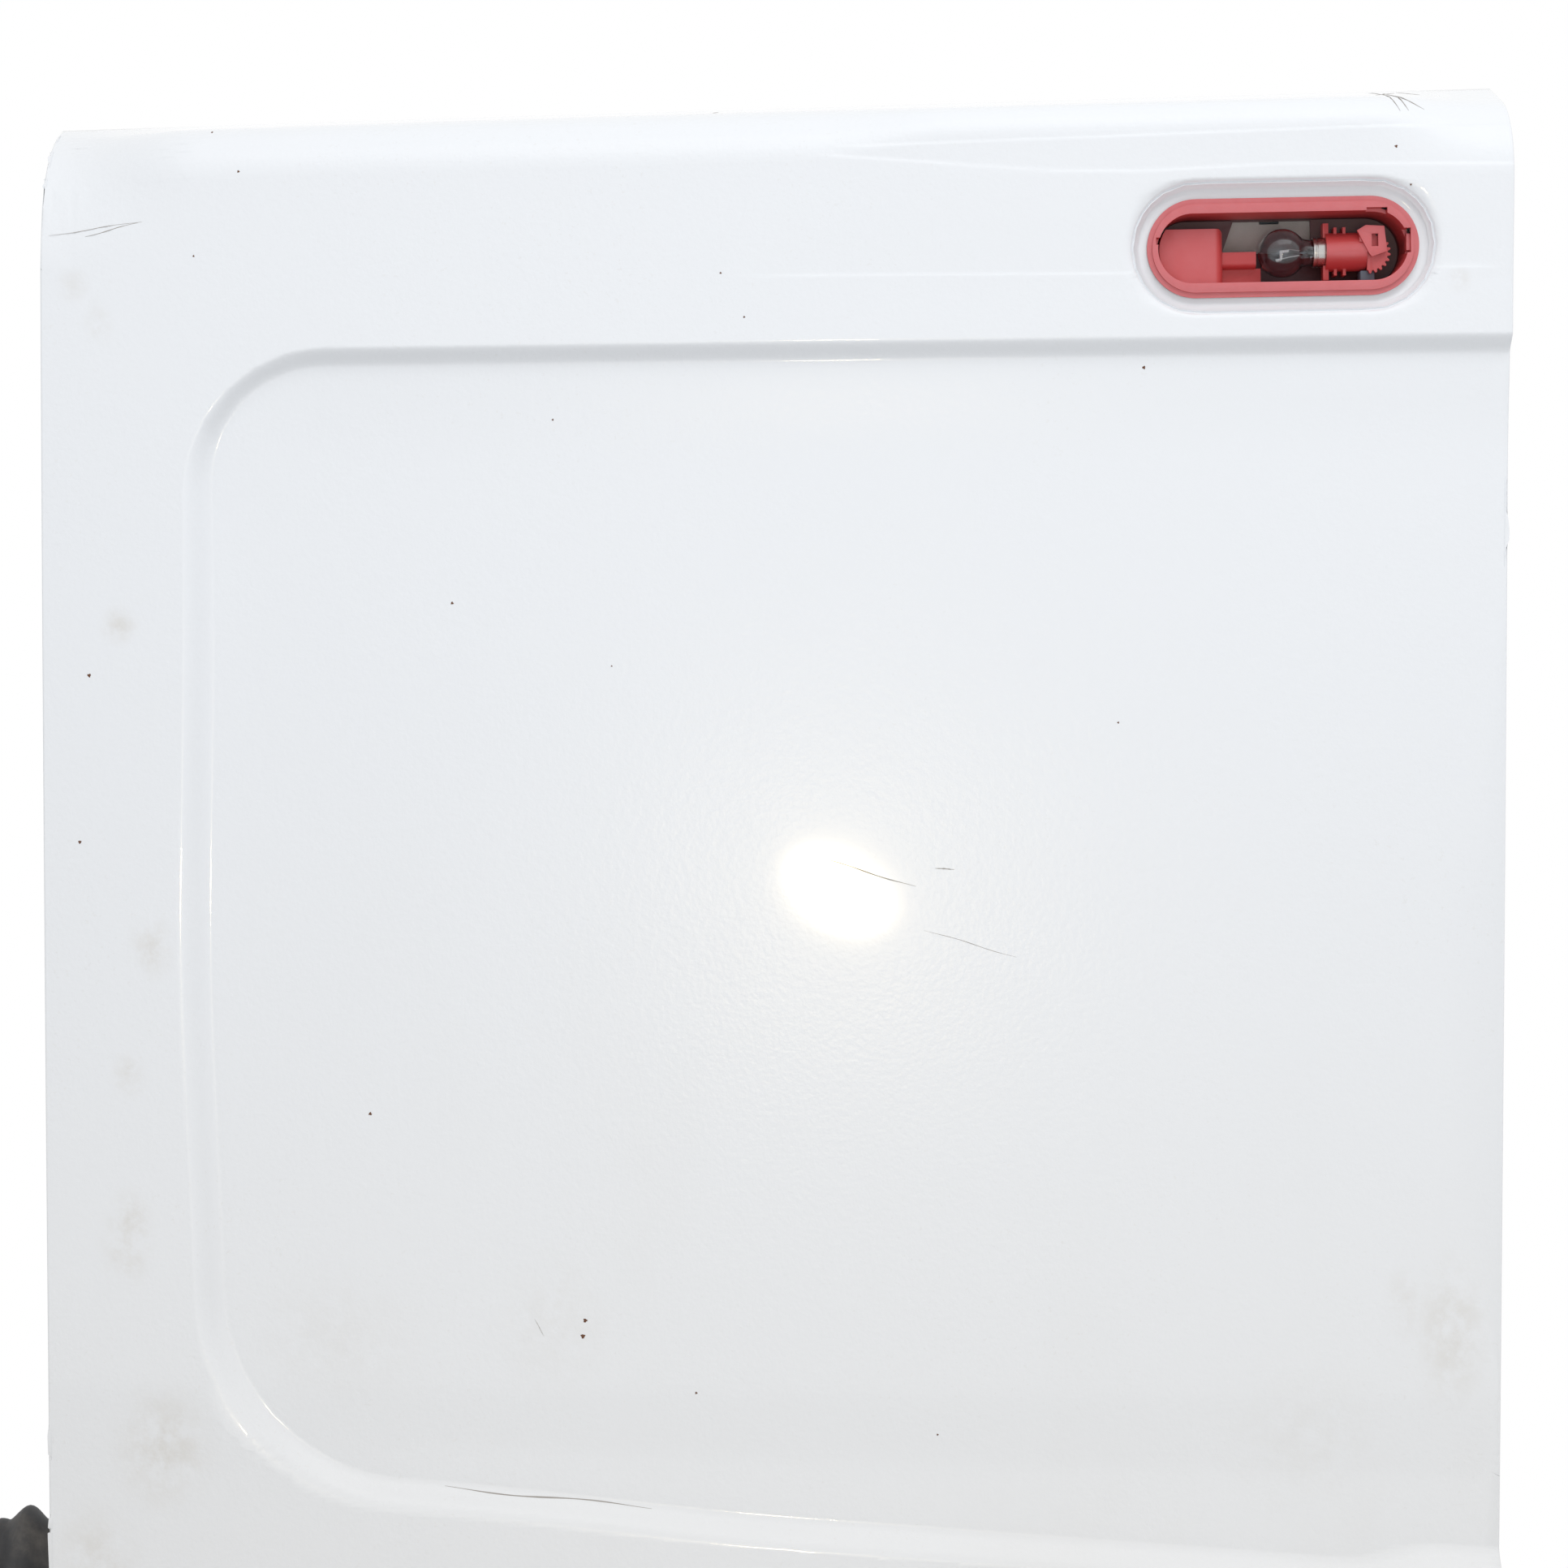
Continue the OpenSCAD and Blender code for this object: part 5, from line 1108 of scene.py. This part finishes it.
def wire_mesh(name: str, paths: list[list[np.ndarray]], radius: float) -> bpy.types.Object:
    """Returns round wires along smooth paths, as one mesh.

    Args:
        name: Name of the object.
        paths: Points of each wire in the row's frame.
        radius: Radius of the wires in millimetres.
    """
    curve = bpy.data.curves.new(name, "CURVE")
    curve.dimensions = "3D"
    curve.bevel_depth = radius * MM
    curve.bevel_resolution = 2
    curve.use_fill_caps = True
    for path in paths:
        spline = curve.splines.new("POLY")
        spline.points.add(len(path) - 1)
        for point, co in zip(spline.points, path):
            point.co = (*co, 1.0)
    obj = bpy.data.objects.new(name, curve)
    bpy.context.scene.collection.objects.link(obj)
    choose(obj)
    bpy.ops.object.convert(target="MESH")
    smooth(bpy.context.object)
    return bpy.context.object


@dataclass
class Gaiter:
    """Ribbed rubber gaiter that carries the door's wires past the hinge edge."""

    height: float = 625.0
    y: float = 28.5
    start: float = 28.7
    reach: float = 62.0
    profile: tuple[tuple[float, float], ...] = (
        (0.0, 5.0), (0.0, 12.6), (1.0, 13.4), (5.0, 13.4), (7.5, 13.0), (11.5, 13.6), (17.0, 15.6), (21.5, 18.0),
        (24.0, 18.5), (26.5, 17.6), (31.0, 14.6), (34.5, 13.3), (37.0, 14.2), (41.5, 19.2), (44.5, 21.3),
        (47.0, 21.2),
        (50.0, 18.6), (54.0, 14.4), (56.0, 13.3), (57.5, 14.3), (61.0, 14.6), (62.0, 13.8), (62.0, 11.0),
        (58.0, 10.6),
        (44.0, 11.0), (24.0, 9.0), (8.0, 5.0),
    )

    def build(self, finishes: Finishes) -> None:
        """Turns the gaiter about its axis, from the hinge-side wall outwards."""
        centre = FORM.to_row(np.array([self.start, self.y, self.height]))
        gaiter = spun("wire_gaiter", [*self.profile, self.profile[0]], centre, (-1.0, 0.0, 0.0), 72)
        modify(gaiter, "SUBSURF", levels=1, render_levels=1)
        finish_piece(gaiter, finishes.rubber, replaces=("gaiter",))


@dataclass
class Dressing:
    """CAD nodes that keep their shape and get rounded edges and a finish."""

    nodes: dict[str, bpy.types.Object]
    finishes: Finishes
    width: float = 0.8
    widths: dict[str, float] = field(default_factory=lambda: {
        "inner_frame": 0.0, "waist_rail": 0.5, "skin_brace": 0.5, "lower_inner_panel": 0.3, "plate_plinth": 1.0,
        "outer_handle": 1.6, "pull_handle": 2.4, "release_lever": 1.4, "lock_barrel": 0.5, "latch_claw": 0.4,
        "damping_pads": 0.6, "edge_buffers": 1.2, "hole_plugs": 0.5, "plate_lamps": 0.8, "latch_rods": 0.6,
    })

    def build(self) -> None:
        """Dresses every node that no other class replaces."""
        f = self.finishes
        groups = (
            (f.inner_paint, Slot.PAINT, ("inner_frame", "waist_rail", "skin_brace", "lower_inner_panel")),
            (f.mat, Slot.MAT, ("damping_pads",)),
            (f.plastic, Slot.PLASTIC,
             ("plate_plinth", "outer_handle", "release_bezel", "release_lever", "pull_handle")),
            (f.lens, Slot.LENS, ("plate_lamps",)),
            (f.zinc, Slot.ZINC, ("lock_barrel", "latch_case", "latch_rods", "top_bolt", "bottom_bolt")),
            (f.steel, Slot.STEEL, ("latch_claw",)),
            (f.hinge_paint, Slot.HINGE, ("upper_door_leaf", "lower_door_leaf", "hinge_plates")),
            (f.rubber, Slot.RUBBER, ("gaiter_grommet", "edge_buffers", "hole_plugs")),
        )
        for material, slot, names in groups:
            for name in names:
                self.dress(name, material, Body.DOOR)
        for name in ("upper_body_leaf", "lower_body_leaf"):
            self.dress(name, f.hinge_paint, Body.PILLAR)
        for name in ("upper_hinge_pin", "lower_hinge_pin"):
            self.dress(name, f.steel, Body.PILLAR)

    def dress(self, name: str, material: bpy.types.Material, body: Body) -> None:
        """Rounds one node's edges and gives it its finish."""
        width = self.widths.get(name, self.width)
        if width:
            piece = softened(self.nodes[name], f"{name}_piece", width)
        else:
            piece = node_copy(self.nodes[name], f"{name}_piece")
            smooth(piece, 40.0)
        finish_piece(piece, material, body, (name,))


@dataclass
class Studio:
    """Camera, lamps, floor and background."""

    eye: tuple[float, float, float] = (400.8, -1535.6, 1089.0)
    pitch: float = math.radians(90 - 2.3)
    yaw: float = math.radians(0.75)
    lens: float = 69.3
    floor_gap: float = 5.0
    floor_half: float = 2.2
    floor_middle: float = -0.8
    aim: tuple[float, float, float] = (0.37, -0.05, 0.55)
    above: tuple[float, float, float] = (0.75, -1.3, 2.9)
    world_light: float = 0.52

    def build(self) -> None:
        """Builds the whole studio."""
        self.camera()
        self.floor()
        self.world()
        key = self.lamp("key", self.above, self.aim, 2.4, 1.3, 31.0, (1.0, 0.99, 0.975))
        key.visible_glossy = False
        self.lamp("strip", self.above, self.aim, 2.4, 0.32, 4.0, (1.0, 0.96, 0.88))
        fill = self.lamp("fill", (0.62, -2.6, 0.35), (0.40, -0.05, 0.45), 1.8, 1.8, 17.0, (0.93, 0.96, 1.0))
        fill.visible_glossy = False
        self.lamp("flash", (0.405, -2.665, 0.594), (0.395, -0.05, 0.742), 0.15, 0.085, 2.6, (1.0, 0.82, 0.50), -0.5)

    def camera(self) -> None:
        """Places the camera where the photographer stood."""
        bpy.ops.object.camera_add(location=FORM.to_row(np.array(self.eye)), rotation=(self.pitch, 0.0, self.yaw))
        camera = bpy.context.object
        camera.data.lens = self.lens
        camera.data.sensor_width = 36.0
        camera.data.clip_start = 0.01
        bpy.context.scene.camera = camera

    def lamp(self, name: str, at: tuple[float, float, float], to: tuple[float, float, float], wide: float,
             tall: float, power: float, color: tuple[float, float, float], roll: float = 0.0) -> bpy.types.Object:
        """Adds a soft area lamp that looks at a point, rolled about its own axis, and returns it."""
        look = (Vector(to) - Vector(at)).to_track_quat("-Z", "Y").to_matrix()
        turn = (look @ Matrix.Rotation(roll, 3, "Z")).to_euler()
        bpy.ops.object.light_add(type="AREA", location=at, rotation=turn)
        light = bpy.context.object
        light.name = f"{name}_lamp"
        light.data.shape = "RECTANGLE" if wide > 0.5 else "ELLIPSE"
        light.data.size = wide
        light.data.size_y = tall
        light.data.energy = power
        light.data.color = color
        return light

    def floor(self) -> None:
        """Lays the pale floor under the door."""
        level = FORM.to_row(np.array([0.0, 0.0, -self.floor_gap]))[2]
        bpy.ops.mesh.primitive_plane_add(size=2 * self.floor_half, location=(0.37, self.floor_middle, level))
        floor = bpy.context.object
        floor.name = "studio_floor"
        settle(floor)
        f = Finish("floor_white", (0.80, 0.80, 0.80), 0.6)
        floor.data.materials.append(f.material)
        floor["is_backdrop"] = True

    def world(self) -> None:
        """Makes a world that is white to the camera, in gloss and through glass, and softer as light."""
        world = bpy.data.worlds.new("studio")
        bpy.context.scene.world = world
        world.use_nodes = True
        tree = world.node_tree
        back = tree.nodes["Background"]
        path = tree.nodes.new("ShaderNodeLightPath")
        seen = tree.nodes.new("ShaderNodeMath")
        seen.operation = "MAXIMUM"
        tree.links.new(path.outputs["Is Camera Ray"], seen.inputs[0])
        through = tree.nodes.new("ShaderNodeMath")
        through.operation = "MAXIMUM"
        tree.links.new(path.outputs["Is Transmission Ray"], through.inputs[0])
        tree.links.new(path.outputs["Is Glossy Ray"], through.inputs[1])
        tree.links.new(through.outputs["Value"], seen.inputs[1])
        level = tree.nodes.new("ShaderNodeMapRange")
        tree.links.new(seen.outputs["Value"], level.inputs["Value"])
        level.inputs["To Min"].default_value = self.world_light
        level.inputs["To Max"].default_value = 1.0
        tree.links.new(level.outputs["Result"], back.inputs["Strength"])
        back.inputs["Color"].default_value = (1.0, 1.0, 1.0, 1.0)


def write_sizes(after: object) -> None:
    """Defines a helper that turns a box into plain lists of numbers, but writes nothing."""
    def plain(box: object) -> list[list[float]]:
        """Returns a box as plain lists of numbers."""
        return [[float(c) for c in corner] for corner in box]


def main() -> None:
    """Builds the studio and dresses the door, sub-assembly by sub-assembly."""
    logging.basicConfig(level=logging.INFO, format="%(name)s: %(message)s")
    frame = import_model()
    nodes = frame["nodes"]
    view = bpy.context.scene.view_settings
    view.view_transform = "Standard"
    Studio().build()
    lamp = BrakeLamp()
    finishes = Finishes(lamp.at(0.0, 0.0, 0.0)[1])
    OuterSkin().build(nodes["outer_skin"], finishes.paint)
    lamp.build(nodes, finishes)
    Gaiter().build(finishes)
    Dressing(nodes, finishes).build()
    PaintMarks().build(finishes)
    write_sizes(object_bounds())


if __name__ == "__main__":
    main()
